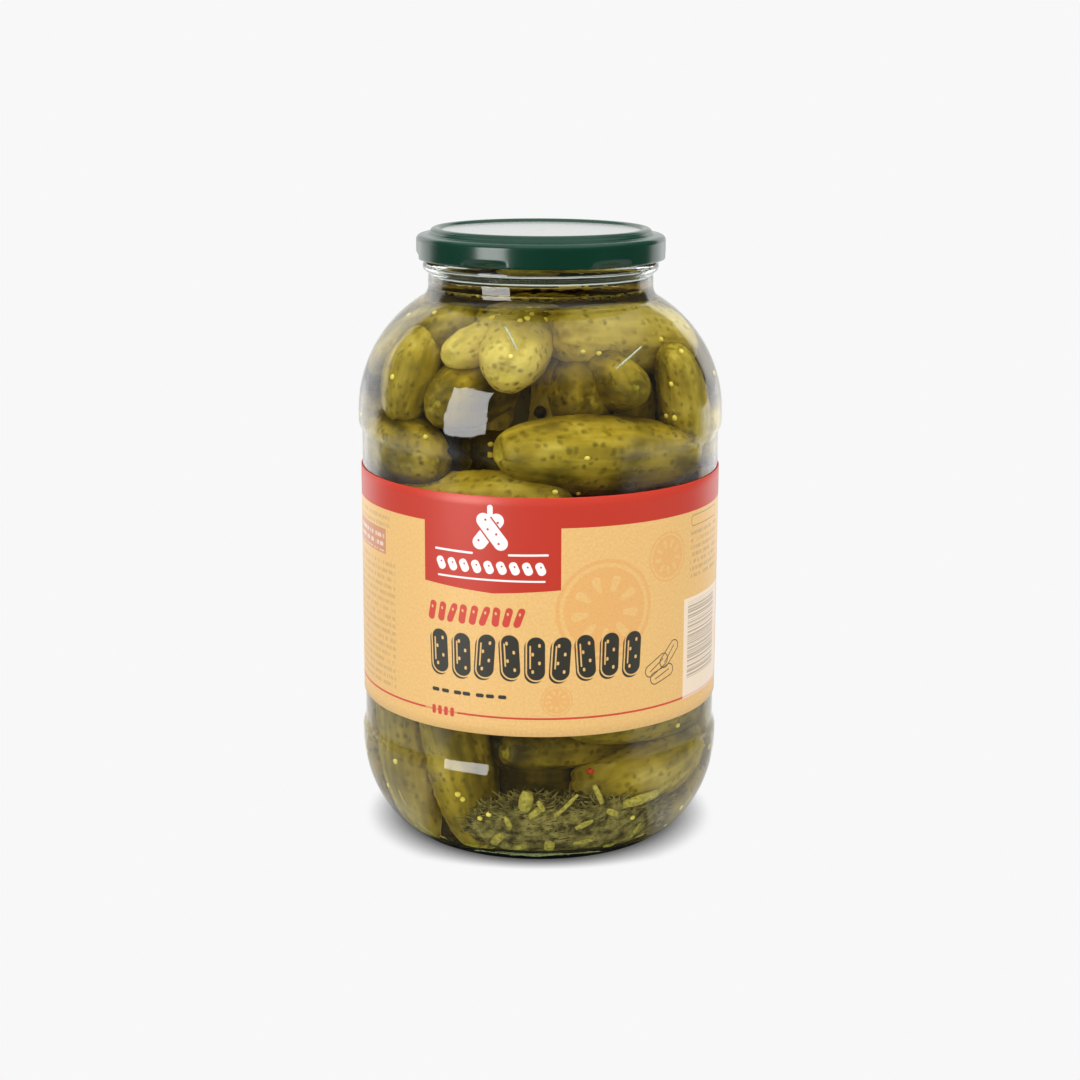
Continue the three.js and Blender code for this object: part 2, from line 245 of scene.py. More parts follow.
jar_underside = chain(
    line((0, PUSH_UP), (PUSH_UP_EDGE, PUSH_UP - 0.4), 10),
    ease((PUSH_UP_EDGE, PUSH_UP - 0.4), (50, 2.9), 5),
    ease((50, 2.9), (RING_INNER, 0.05), 6), line((RING_INNER + 0.6, 0), (RING_OUTER - 0.6, 0), 2),
)
jar_outside = chain(
    heel(0, -62.5, 44),
    ease((BODY_RADIUS - 0.08, HEEL["height"] + 1.5), (PANEL_RADIUS, PANEL_BOTTOM + 0.5), 14),
    line((PANEL_RADIUS, PANEL_BOTTOM + 3), (PANEL_RADIUS, PANEL_TOP - 1), 10),
    ease((PANEL_RADIUS, PANEL_TOP), (BODY_RADIUS, PANEL_TOP + 5), 14),
    shoulder(0, 60), neck_fillet(0, 16),
    line((NECK_RADIUS, NECK_TOP - 7), (NECK_RADIUS, NECK_TOP - 0.6), 4),
    arc((BEAD_RADIUS - BEAD_ROUNDING, BEAD_HEIGHT), (BEAD_ROUNDING, BEAD_ROUNDING), -66, 66, 14),
    line((FINISH_RADIUS, BEAD_HEIGHT + 2.6), (FINISH_RADIUS, RIM_TOP - 1.8), 4),
)
rim_middle = (FINISH_RADIUS - RIM_ROUNDING, RIM_TOP - RIM_ROUNDING)
jar_rim = arc(rim_middle, (RIM_ROUNDING, RIM_ROUNDING), 0, 180, 14)
jar_inside = inner_wall(0)
jar_profile = chain(jar_underside, jar_outside, jar_rim, jar_inside[::-1])
jar_glass = surface("glass_jar_fine", turned(jar_profile, GLASS_COLUMNS))

# Soda-lime glass: clear, polished by the fire, faintly wavy from the mould, greenish where thick.
GLASS_TINT = "#f7fcf5"
GLASS_IOR = 1.5
GLASS_DEPTH = "#9cb574"
WAVE_LENGTH = 11 * MM
WAVE_DEPTH = 0.26 * MM
FOOT_TINT = (2 * MM, 14 * MM)


def clear_finish(name, tint, ior, gloss, waves):
    """A clear medium's skin. Lamps and scattered light pass it straight, so that they reach what
    is inside; every other ray is bent and mirrored as at a real wet or polished surface."""
    material, tree, output = finish_of(name)
    place = add(tree, "ShaderNodeTexCoord").outputs["Object"]
    noise = noise_of(tree, place, 1 / WAVE_LENGTH, 2.0)
    bump = add(tree, "ShaderNodeBump", {"Height": noise, "Distance": waves})
    skin = add(tree, "ShaderNodeBsdfPrincipled", {
        "Base Color": linear(tint), "Roughness": 0.0, "IOR": ior, "Transmission Weight": 1.0,
        "Specular Tint": linear(gloss), "Normal": bump.outputs["Normal"],
    })
    rays = add(tree, "ShaderNodeLightPath")
    through = add(tree, "ShaderNodeBsdfTransparent", {"Color": linear(tint)})
    lit = add(tree, "ShaderNodeMixShader", {
        0: rays.outputs["Is Shadow Ray"], 1: skin.outputs[0], 2: through.outputs[0],
    })
    mix = add(tree, "ShaderNodeMixShader", {
        0: rays.outputs["Is Diffuse Ray"], 1: lit.outputs[0], 2: through.outputs[0],
    })
    tree.links.new(mix.outputs[0], output.inputs["Surface"])
    return material


glass_finish = clear_finish("soda_lime_glass", GLASS_TINT, GLASS_IOR, "#ffffff", WAVE_DEPTH)
tree = glass_finish.node_tree
axes = add(tree, "ShaderNodeSeparateXYZ", {0: tree.nodes["Texture Coordinate"].outputs["Object"]})
thick = ranged(tree, axes.outputs["Z"], *FOOT_TINT, 1.0, 0.0, "SMOOTHSTEP")
green = mixed(tree, thick, linear(GLASS_TINT), linear(GLASS_DEPTH))
tree.links.new(green, tree.nodes["Principled BSDF"].inputs["Base Color"])
jar_glass.data.materials.append(glass_finish)
# Where brine wets the wall hardly any light is mirrored, because both bend light nearly alike.
jar_glass.data.materials.append(clear_finish("wet_inner_glass", "#ffffff", GLASS_IOR, "#0a0a0a", 0))
wet_rows = len(jar_profile) - len(jar_inside) + np.arange(len(jar_inside))
wet_rows = wet_rows[jar_inside[::-1, 1] < BRINE_LEVEL - WET_EDGE]
face_row = np.arange((len(jar_profile) - 1) * GLASS_COLUMNS) // GLASS_COLUMNS
face_slot = np.zeros(len(jar_glass.data.polygons), np.int32)
face_slot[:len(face_row)] = face_row >= wet_rows.min()
face_slot[-GLASS_COLUMNS:] = 1
jar_glass.data.polygons.foreach_set("material_index", face_slot)
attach(jar_glass, "root")
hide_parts("glass_jar")


# The gherkins: whole pickled cucumbers, packed upright below and tumbled on top, pressed against
# the glass. Each has blunt ends with a scar, low warts, and skin from yellow-green to dark olive.
SKIN_GAP = 0.35
WART_HEIGHT = 0.6
WART_SPACING = 7.5
LOBES = 3
LOBE_DEPTH = 0.035
SWELL_DEPTH = 0.03
RIBS = 9
RIB_DEPTH = 0.012
SCAR_WIDTH = 0.004
SCAR_DEPTH = 0.7
BLUNTNESS = 0.62
GHERKIN_ROWS = 72
GHERKIN_COLUMNS = 96
HIDDEN_DETAIL = 0.62
REST_SPACING = 200
rng = np.random.default_rng(11)

# Each front gherkin: azimuth in degrees from the front, distance from the axis and height of both
# ends, thickest radius, bow, how pale it is from 0 to 1, and how warty.
FRONT_GHERKINS = {
    "pale_right": ((6, 36, 211), (95, 56, 203), 14.6, 2, 0.82, 0.5),
    "pale_end_on": ((-12, 61, 203), (20, -10, 212), 14.4, 0, 0.92, 0.5),
    "small_pale": ((-38, 57, 206), (40, 10, 214), 10.5, 0, 1.0, 0.3),
    "upper_left": ((-34, 40, 219), (-92, 62, 196), 12, 2, 0.4, 0.8),
    "left_upright": ((-57, 62, 180), (-62, 48, 214), 12.5, 1, 0.5, 0.8),
    "left_end_on": ((-37, 66, 189), (-60, -6, 195), 14, 0, 0.3, 0.5),
    "right_end_on": ((34, 67, 197), (60, 5, 193), 11.5, 0, 0.3, 0.5),
    "right_upright": ((60, 58, 208), (66, 60, 166), 12, 1, 0.6, 0.8),
    "behind_middle": ((20, 52, 190), (0, -12, 190), 14, 0, 0.28, 0.7),
    "long_front": ((-14, 66, 174), (68, 66, 166), 14.8, 5, 0.46, 0.6),
    "long_left": ((-36, 66, 167), (-110, 66, 172), 15, 4, 0.3, 0.6),
    "behind_label": ((-58, 64, 146), (10, 64, 152), 15, 3, 0.55, 0.8),
    "low_left": ((-45, 56, 92), (-24, 54, 5), 13.8, 1.5, 0.48, 1.0),
    "low_far_left": ((-66, 60, 90), (-53, 54, 4), 13.8, 2, 0.55, 0.9),
    "low_far_right": ((52, 57, 13), (112, 58, 22), 12, 2, 0.45, 0.8),
    "low_middle": ((-12, 64, 50), (60, 48, 44), 12, 0, 0.2, 0.6),
    "low_right": ((14, 60, 30), (76, 63, 41), 13.8, 3, 0.6, 1.0),
    "under_label": ((8, 64, 66), (72, 66, 58), 13.8, 2.5, 0.4, 0.6),
}


def sway(index, amount):
    """An uneven offset that repeats slowly: amount times the sine of 2.4 per step."""
    return amount * math.sin(2.4 * index + 0.7)


def rings_of_gherkins():
    """The gherkins round the sides, the back and the middle, as even rings, each turned a little."""
    for i in range(3):
        a = 78 + 54 * i
        yield (a, 64, 168 + sway(i, 3)), (a + 60, 64, 168 - sway(i, 4)), 14 + sway(i, 0.8), 1.5
    for i in range(6):
        a = 92 + 30 * i
        yield (a, 66, 186 + sway(i, 3)), (a + sway(i, 14), 34, 211 + sway(i, 3)), 13, 1
    for i in range(3):
        a = 98 + 56 * i
        yield (a, 44, 213 + sway(i, 2)), (a + 66, 44, 213 - sway(i, 2)), 11.5, 3
    for i in range(7):
        a = 90 + 27 * i
        yield (a, 56, 84 + sway(i, 6)), (a + sway(i, 9), 53, 9), 13.6 + sway(i, 0.7), 1.5
    for i in range(8):
        a = 45 * i
        yield (a, 32, 150 + sway(i, 6)), (a + 20, 31, 198 + sway(i, 5)), 13, 0
    for i in range(6):
        a = 60 * i + 12
        yield (a, 30, 96), (a + 12, 34, 22), 14, 0


def spot(azimuth, radius, height):
    """The point at an azimuth from the front, a distance from the axis and a height, in mm."""
    angle = math.radians(azimuth)
    return np.array([radius * math.sin(angle), -radius * math.cos(angle), height])


wall_inside = jar_inside[FLOOR_STEPS + 1:]
floor_inside = jar_inside[:FLOOR_STEPS + 2]


def room(height, gap):
    """The largest distance from the axis at a height that keeps a gap to the inside of the glass."""
    return np.interp(height, wall_inside[:, 1], wall_inside[:, 0]) - gap


def jar_floor(radius):
    """The height in mm of the inside of the jar's floor at a distance from the axis."""
    return np.interp(radius, floor_inside[:, 0], floor_inside[:, 1])


def kept_inside(points, gap):
    """Points in mm pushed towards the axis, and up off the floor, until they clear the glass."""
    points = points.copy()
    radius = np.maximum(np.hypot(points[..., 0], points[..., 1]), 1e-6)
    points[..., 2] = np.maximum(points[..., 2], jar_floor(radius) + gap)
    points[..., :2] *= np.minimum(1, room(points[..., 2], gap) / radius)[..., None]
    return points


def mark(piece, name, kind, values):
    """Gives every point of a mesh a value of its own, which its material reads by name."""
    field = "vector" if kind == "FLOAT_VECTOR" else "value"
    piece.data.attributes.new(name, kind, "POINT").data.foreach_set(field, np.ravel(values))


def gherkin(name, start, end, girth, bow, tone, warty, detail=1.0):
    """A bent blunt spindle. Ring radius = girth sin(t)^bluntness at -cos(t) along the axis, times
    soft lobes round it, low waves along it and rows of warts; the middle bows away from the jar's
    axis. The attribute rest keeps the straight shape, so that the skin's pattern follows it."""
    rows, columns = int(GHERKIN_ROWS * detail), int(GHERKIN_COLUMNS * detail)
    start, end = spot(*start), spot(*end)
    middle, length = (start + end) / 2, np.linalg.norm(end - start)
    along = (end - start) / length
    outwards = np.array([middle[0], middle[1], 0]) + 1e-6
    side = outwards - along * (outwards @ along)
    side /= np.linalg.norm(side)
    across = np.cross(side, along)
    phase = rng.uniform(0, 2 * math.pi, 6)
    t = np.linspace(0.02, math.pi - 0.02, rows)[:, None]
    turn = np.linspace(0, 2 * math.pi, columns, endpoint=False)[None, :]
    axial = -np.cos(t) * length / 2 + 0 * turn
    share = 2 * axial / length
    shape = 1 + LOBE_DEPTH * np.cos(LOBES * turn + phase[0])
    shape = shape + SWELL_DEPTH * np.cos(2 * turn + 2 * share + phase[1])
    shape = shape + SWELL_DEPTH * np.sin(3.2 * share + phase[2])
    shape = shape + RIB_DEPTH * np.cos(RIBS * turn + phase[3])
    radius = girth * np.sin(t) ** BLUNTNESS * shape
    count = max(5, round(2 * math.pi * girth / WART_SPACING))
    lattice = np.cos(count * turn + phase[4]) * np.cos(2 * math.pi * axial / WART_SPACING + phase[5])
    patchy = 0.6 + 0.4 * np.sin(2.3 * turn + 3 * share + phase[1])
    radius = radius + warty * WART_HEIGHT * patchy * np.maximum(lattice, 0) ** 3 * np.sin(t)
    scar = np.exp(-((1 - np.abs(share)) / SCAR_WIDTH) ** 2)
    axial = axial - SCAR_DEPTH * scar * np.sign(share)
    off = radius * np.cos(turn) + bow * (1 - share ** 2)
    cross = radius * np.sin(turn)
    rings = middle + axial[..., None] * along + off[..., None] * side + cross[..., None] * across
    piece = surface(name, kept_inside(rings, SKIN_GAP) * MM)
    straight = np.stack([axial, radius * np.cos(turn), cross], 2).reshape(-1, 3)
    ends = np.array([[-length / 2, 0, 0], [length / 2, 0, 0]])
    rest = np.vstack([straight, ends]) + REST_SPACING * phase[:3]
    mark(piece, "rest", "FLOAT_VECTOR", rest * MM)
    mark(piece, "tone", "FLOAT", np.full(len(rest), tone))
    mark(piece, "share", "FLOAT", np.append(share.ravel(), [-1, 1]))
    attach(piece, "root")
    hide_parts("pickles")
    piece.data.materials.append(gherkin_skin)
    return piece


# Pickled skin: smooth, waxy and nearly as dense to light as the brine, so it hardly shines there.
SKIN_DARK = "#40350c"
SKIN_GREEN = "#6f5e14"
SKIN_YELLOW = "#9c8626"
SKIN_PALE = "#ccb75a"
SPECK_DARK = "#4d4011"
SCAR_YELLOW = "#b9ac3a"
SPECK_SPACING = 3.6 * MM
SPECK_WARP = 2.2 * MM
SPECK_EDGE = (0.1, 0.42)
SPECK_PATCHES = (0.36, 0.62)
SPECK_SHARE = (0.12, 0.72)
BLOTCH_SIZE = 18 * MM
BLOTCH_CONTRAST = 1.3
STREAK_WIDTH = 5 * MM
STREAK_SQUEEZE = 0.12
STREAK_CONTRAST = 0.8
STREAK_RELIEF = 1.5
SKIN_RELIEF = 0.5 * MM
SCAR_EDGE = (1.012, 1.016)
SCAR_RAGGED = 0.03
SCAR_SHARE = 0.6
WET_SHINE = 0.15


def sum_of(tree, operation, *values, clamp=False):
    """The result of one sum, from numbers or other results."""
    return add(tree, "ShaderNodeMath", dict(enumerate(values)),
               operation=operation, use_clamp=clamp).outputs[0]


def skin_of(tree, output, colour, roughness, ior, height, depth, shine=0.5):
    """An opaque surface on a material's output: a colour, a roughness and bumps of some depth."""
    bump = add(tree, "ShaderNodeBump", {"Height": height, "Distance": depth})
    skin = add(tree, "ShaderNodeBsdfPrincipled", {
        "Base Color": colour, "Roughness": roughness, "IOR": ior, "Specular IOR Level": shine,
        "Normal": bump.outputs["Normal"],
    })
    tree.links.new(skin.outputs[0], output.inputs["Surface"])


gherkin_skin, tree, output = finish_of("pickled_cucumber_skin")
rest = add(tree, "ShaderNodeAttribute", attribute_name="rest").outputs["Vector"]
tone = add(tree, "ShaderNodeAttribute", attribute_name="tone").outputs["Fac"]
share = add(tree, "ShaderNodeAttribute", attribute_name="share").outputs["Fac"]
blotch = noise_of(tree, rest, 1 / BLOTCH_SIZE, 4.0)
stretch = add(tree, "ShaderNodeMapping", {"Vector": rest, "Scale": (STREAK_SQUEEZE, 1, 1)})
streak = noise_of(tree, stretch.outputs[0], 1 / STREAK_WIDTH, 3.0)
uneven = sum_of(tree, "MULTIPLY_ADD", blotch, BLOTCH_CONTRAST, -BLOTCH_CONTRAST / 2)
streaky = sum_of(tree, "MULTIPLY_ADD", streak, STREAK_CONTRAST, -STREAK_CONTRAST / 2)
level = sum_of(tree, "ADD", sum_of(tree, "ADD", uneven, streaky), tone, clamp=True)
skin_ramp = add(tree, "ShaderNodeValToRGB", {"Fac": level})
skin_ramp.color_ramp.elements[0].color = linear(SKIN_DARK)
skin_ramp.color_ramp.elements[1].color = linear(SKIN_PALE)
skin_ramp.color_ramp.elements.new(0.3).color = linear(SKIN_GREEN)
skin_ramp.color_ramp.elements.new(0.6).color = linear(SKIN_YELLOW)
crumple = add(tree, "ShaderNodeTexNoise", {"Vector": rest, "Scale": 0.7 / SPECK_SPACING, "Detail": 2.0})
warped = add(tree, "ShaderNodeVectorMath", {
    0: crumple.outputs["Color"], 1: (SPECK_WARP,) * 3, 2: rest}, operation="MULTIPLY_ADD")
cells = add(tree, "ShaderNodeTexVoronoi", {
    "Vector": warped.outputs[0], "Scale": 1 / SPECK_SPACING, "Randomness": 0.85})
near = ranged(tree, cells.outputs["Distance"], *SPECK_EDGE, 1.0, 0.0)
speck = sum_of(tree, "MULTIPLY", near, ranged(tree, blotch, *SPECK_PATCHES, *SPECK_SHARE))
specked = mixed(tree, speck, skin_ramp.outputs["Color"], linear(SPECK_DARK))
ragged = sum_of(tree, "MULTIPLY_ADD", streak, SCAR_RAGGED, sum_of(tree, "ABSOLUTE", share))
tip = ranged(tree, ragged, *SCAR_EDGE, 0.0, SCAR_SHARE)
scarred = mixed(tree, tip, specked, linear(SCAR_YELLOW))
rough = sum_of(tree, "MULTIPLY_ADD", streak, STREAK_RELIEF, near)
skin_of(tree, output, scarred, 0.45, 1.4, rough, SKIN_RELIEF, WET_SHINE)

gherkins = [
    gherkin("gherkin_" + name, *shape) for name, shape in FRONT_GHERKINS.items()
]
for number, shape in enumerate(rings_of_gherkins()):
    pale = 0.42 + rng.uniform(-0.15, 0.25)
    warty = rng.uniform(0.3, 0.9)
    gherkins.append(gherkin(f"gherkin_{number + 1:02d}", *shape, pale, warty, HIDDEN_DETAIL))

# What shows between them deep in the jar: more gherkins, as one lumpy core in painted shade. It has
# no tone of its own, so that its skin takes the darkest colours, which stand in for the shade there.
CORE = [(0, 9.5), (42, 8.9), (53, 18), (53, 62), (48, 150), (42, 176), (30, 198), (12, 208), (0, 210)]
CORE_COLUMNS = 96
CORE_LUMP = 0.09

core_steps = [line(CORE[i], CORE[i + 1], 8) for i in range(len(CORE) - 1)]
core_rings = turned(chain(*core_steps), CORE_COLUMNS)
core_turn = np.arctan2(core_rings[..., 0], -core_rings[..., 1])
core_high = core_rings[..., 2]
core_lump = 1 + CORE_LUMP * np.cos(7 * core_turn + 90 * core_high) * np.sin(120 * core_high)
core_rings[..., :2] *= core_lump[..., None]
gherkin_core = surface("gherkin_core", core_rings)
core_rest = np.zeros((len(gherkin_core.data.vertices), 3))
core_rest[:core_rings.size // 3] = core_rings.reshape(-1, 3)
mark(gherkin_core, "rest", "FLOAT_VECTOR", core_rest)
# The core's darkest skin colours are painted shade for the gaps deep in the jar.
gherkin_core.data.materials.append(gherkin_skin)
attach(gherkin_core, "root")
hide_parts("pickles")


# The dill: chopped threads and pieces of stem, sunk to a mat on the floor against the front. The
# mat is one lumpy core, coloured darker as painted shade, with the threads and the stems loose on it.
DILL = {"azimuth": 12, "radius": 62, "height": 18.5, "spread": 37, "depth": 9.5, "rise": 15.5}
DILL_LUMP = 0.16
DILL_CORE_SHARE = 0.93
DILL_CORE_GAP = 3.2
THREADS = 1700
THREAD_RADIUS = 0.28
THREAD_STEPS = 6
THREAD_SIDES = 4
THREAD_SIZES = (0.7, 1.6)
THREAD_REACH = (3, 9.5)
THREAD_CURL = 0.35
THREAD_RISE = 0.5
THREAD_GAP = 1.9
THREAD_SPREAD = (1.03, 0.82)
THREAD_MIDDLE_GAP = 0.8
STEM_GAP = 0.2
STEM_SIDES = 12
SIGHT_REACH = 40

# Each piece of stem: its pixel in the photograph, then its length and radius in mm and its turn.
STEMS = [
    ((526, 801), 8, 2.9, 80), ((536, 812), 7, 1.6, 40), ((598, 794), 9, 1.2, 115),
    ((640, 799), 17, 2.2, 5), ((584, 824), 7.5, 1.3, 25), ((499, 836), 9, 2.2, 50),
    ((549, 843), 7, 2.4, 95), ((637, 827), 10, 1.2, 75), ((566, 806), 13, 0.9, 45),
    ((508, 822), 6, 1.2, 110), ((612, 812), 6, 1.4, 150), ((520, 846), 6, 1.6, 20),
    ((423, 826), 14, 1.0, -38), ((404, 800), 9, 0.6, -55), ((583, 841), 8, 1.3, 10),
    ((541, 806), 5, 1.1, 120), ((612, 845), 7, 1.1, 35), ((470, 845), 7, 1.2, 15),
]


def tubes(name, paths, radii, sides):
    """Thin tubes as one mesh, from an array of paths. Each ring is a polygon square to its path,
    whose radius falls to the ends with the square root of the sine of the way along."""
    count, steps = paths.shape[:2]
    along = np.gradient(paths, axis=1)
    along /= np.linalg.norm(along, axis=2, keepdims=True)
    seed = np.broadcast_to(np.array([0.31, 0.17, 0.93]), along.shape)
    side = np.cross(along, seed)
    side /= np.linalg.norm(side, axis=2, keepdims=True)
    across = np.cross(along, side)
    turn = np.linspace(0, 2 * math.pi, sides, endpoint=False)
    taper = 0.35 + 0.65 * np.sin(np.linspace(0.25, math.pi - 0.25, steps)) ** 0.5
    size = (radii[:, None] * taper)[:, :, None, None]
    ring = side[:, :, None] * np.cos(turn)[:, None] + across[:, :, None] * np.sin(turn)[:, None]
    points = (paths[:, :, None] + size * ring).reshape(-1, 3)
    grid = np.arange(count * steps * sides).reshape(count, steps, sides)
    upper, lower = grid[:, 1:], grid[:, :-1]
    quads = np.stack([lower, np.roll(lower, -1, 2), np.roll(upper, -1, 2), upper], 3)
    faces = quads.reshape(-1, 4).tolist() + grid[:, 0, ::-1].tolist() + grid[:, -1].tolist()
    return piece_of(name, points * MM, faces)


def tree_of(pieces):
    """One search tree over the faces of several meshes."""
    points, faces, start = [], [], 0
    for piece in pieces:
        count = len(piece.data.vertices)
        at = np.zeros(count * 3, np.float32)
        piece.data.vertices.foreach_get("co", at)
        points.append(at.reshape(-1, 3))
        faces += [tuple(v + start for v in face.vertices) for face in piece.data.polygons]
        start += count
    return BVHTree.FromPolygons(np.vstack(points).tolist(), faces)


def sight(pixel):
    """The line of sight through a pixel of the photograph, bent where it enters the glass: where
    it enters and its direction inside the brine, by the law of refraction."""
    focal = LENS / SENSOR * PICTURE
    middle = PICTURE / 2
    local = Vector(((pixel[0] - middle) / focal, (middle - SHIFT_DOWN * PICTURE - pixel[1]) / focal, -1))
    direction = (look.to_3x3() @ local).normalized()
    entry, normal, _, _ = glass_tree.ray_cast(CAMERA_PLACE, direction)
    ratio = 1 / BRINE_IOR
    cosine = -normal.dot(direction)
    root = math.sqrt(1 - ratio ** 2 * (1 - cosine ** 2))
    return entry, (ratio * direction + (ratio * cosine - root) * normal).normalized()


def at_glass(pixel, gap):
    """The point in mm behind a pixel that lies gap inside the glass's inner wall."""
    entry, direction = sight(pixel)
    step = np.linspace(1, SIGHT_REACH, 10 * SIGHT_REACH)[:, None]
    line_points = (np.array(entry) + step * MM * np.array(direction)) / MM
    radius = np.hypot(line_points[:, 0], line_points[:, 1])
    clear = radius < room(line_points[:, 2], gap)
    clear &= line_points[:, 2] > jar_floor(radius) + gap
    return line_points[np.argmax(clear)]


def mat_points(azimuths, ups, outs):
    """Points of the mat: an ellipsoid wrapped round the jar's axis, its size waved by a lump."""
    lump = 1 + DILL_LUMP * np.sin(7 * azimuths + 2) * np.sin(5 * ups + 4 * outs)
    angle = np.radians(DILL["azimuth"] + DILL["spread"] * azimuths)
    radius = DILL["radius"] + DILL["depth"] * outs * lump
    height = DILL["height"] + DILL["rise"] * ups * lump
    return np.stack([radius * np.sin(angle), -radius * np.cos(angle), height], -1)


glass_tree = tree_of([jar_glass])
polar = np.linspace(0.03, math.pi - 0.03, 60)[:, None]
turn = np.linspace(0, 2 * math.pi, 90, endpoint=False)[None, :]
ball = (np.cos(polar) + 0 * turn, np.sin(polar) * np.cos(turn), np.sin(polar) * np.sin(turn))
dill_lump = kept_inside(mat_points(*[DILL_CORE_SHARE * part for part in ball]), DILL_CORE_GAP)
dill_core = surface("dill_core", dill_lump * MM)

way = rng.normal(size=(THREADS, 3))
way /= np.linalg.norm(way, axis=1, keepdims=True)
way[:, 2] = np.abs(way[:, 2])
way[:, :2] *= THREAD_SPREAD
middles = kept_inside(mat_points(way[:, 0], way[:, 1], way[:, 2]), THREAD_MIDDLE_GAP)
lean = rng.uniform(0, 2 * math.pi, THREADS)
reach = rng.uniform(*THREAD_REACH, THREADS)[:, None]
out_angle = np.arctan2(middles[:, 0], -middles[:, 1])
tangent = np.stack([np.cos(out_angle), np.sin(out_angle), 0 * lean], 1)
upwards = THREAD_RISE * np.array([[0, 0, 1.0]])
flow = tangent * np.cos(lean)[:, None] + upwards * np.sin(lean)[:, None]
bend = tangent * -np.sin(lean)[:, None] + upwards * np.cos(lean)[:, None]
curl = rng.uniform(-THREAD_CURL, THREAD_CURL, (THREADS, 1))
steps = np.linspace(-1, 1, THREAD_STEPS)[None, :, None]
paths = middles[:, None] + (reach * flow)[:, None] * steps + (reach * curl * bend)[:, None] * steps ** 2
thread_radii = THREAD_RADIUS * rng.uniform(*THREAD_SIZES, THREADS)
dill_threads = tubes("dill_threads", kept_inside(paths, THREAD_GAP), thread_radii, THREAD_SIDES)

stem_paths, stem_sizes = [], []
for pixel, length, thick, turned_by in STEMS:
    seat = at_glass(pixel, thick + 0.3)
    angle, slant = math.atan2(seat[0], -seat[1]), math.radians(turned_by)
    level = np.array([math.cos(angle), math.sin(angle), 0])
    flow = level * math.cos(slant) + np.array([0, 0, math.sin(slant)])
    stem_paths.append(seat + np.linspace(-length / 2, length / 2, 9)[:, None] * flow)
    stem_sizes.append(thick)
stem_paths = kept_inside(np.array(stem_paths), STEM_GAP + np.array(stem_sizes)[:, None])
dill_stems = tubes("dill_stems", stem_paths, np.array(stem_sizes), STEM_SIDES)

# Pickled dill: wilted olive brown, paler and greener in the thicker stems, rough and wet.
DILL_DARK = "#453b16"
DILL_LIGHT = "#978a4b"
# The mat's core: darker copies of the thread colours, as painted shade inside the mat.
DILL_HIDDEN_DARK = "#2a2410"
DILL_HIDDEN_LIGHT = "#5e5227"
STEM_DARK = "#857a2c"
STEM_LIGHT = "#b5a750"
HERB_RELIEF = 0.3 * MM


def herb_finish(name, dark, light, grain):
    """Wet leaf, stem or seed: two colours mixed by a noise of the given grain, and a rough skin."""
    material, tree, output = finish_of(name)
    place = add(tree, "ShaderNodeTexCoord").outputs["Object"]
    grains = noise_of(tree, place, 1 / grain, 5.0)
    green = mixed(tree, ranged(tree, grains, 0.35, 0.65), linear(dark), linear(light))
    skin_of(tree, output, green, 0.6, 1.4, grains, HERB_RELIEF, WET_SHINE)
    return material


wilted = herb_finish("pickled_dill_threads", DILL_DARK, DILL_LIGHT, 3.5 * MM)
# The darker copy is painted shade, worn by the mat's core.
in_the_dark = herb_finish("dill_in_painted_shade", DILL_HIDDEN_DARK, DILL_HIDDEN_LIGHT, 1.6 * MM)
dill_core.data.materials.append(in_the_dark)
dill_threads.data.materials.append(wilted)
dill_stems.data.materials.append(herb_finish("pickled_dill_stems", STEM_DARK, STEM_LIGHT, 1.5 * MM))
for piece in (dill_core, dill_threads, dill_stems):
    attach(piece, "root")
    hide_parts("dill_bed")


# The spices: yellow mustard seeds stuck to the gherkins, a peppercorn, a flake of red pepper and
# two pale threads of dill. What the photograph shows is set by its pixel; the rest goes behind.
SEED_RADIUS = 1.15
SEED_PIXELS = [
    (543, 298), (555, 298), (547, 302), (587, 297), (607, 296), (529, 308), (538, 308), (532, 313),
    (527, 319), (520, 321), (546, 320), (492, 318), (435, 313), (409, 315), (583, 352), (599, 354),
    (511, 357), (661, 340), (681, 352), (671, 384), (666, 416), (674, 418), (587, 458), (555, 492),
    (578, 493), (491, 445), (426, 437), (393, 377), (396, 761), (389, 785), (458, 794), (463, 799),
    (480, 818), (489, 814), (632, 817), (677, 725), (709, 746), (681, 807), (415, 824), (665, 825),
]
HIDDEN_SEEDS = 70
HIDDEN_AZIMUTHS = (75, 285)
HIDDEN_HIGH = (172, 218)
HIDDEN_LOW = (14, 56)
HIDDEN_RADIUS = 45
SEED_SIZES = (0.85, 1.12)
PEPPERCORN_PIXEL = (540, 412)
PEPPERCORN_RADIUS = 2.3
FLAKE_PIXEL = (590, 771)
FLAKE_SIZE = 3.4
PELLET_ROWS = 10
PELLET_COLUMNS = 14
MISSED_DEPTH = 20 * MM

heap_tree = tree_of(gherkins + [gherkin_core, dill_core, dill_threads])


def on_heap(pixel):
    """The point in mm where the line of sight through a pixel meets the contents, or a point a
    little way in where it meets none."""
    entry, direction = sight(pixel)
    met = heap_tree.ray_cast(entry, direction)[0]
    return np.array(met if met is not None else entry + direction * MISSED_DEPTH) / MM


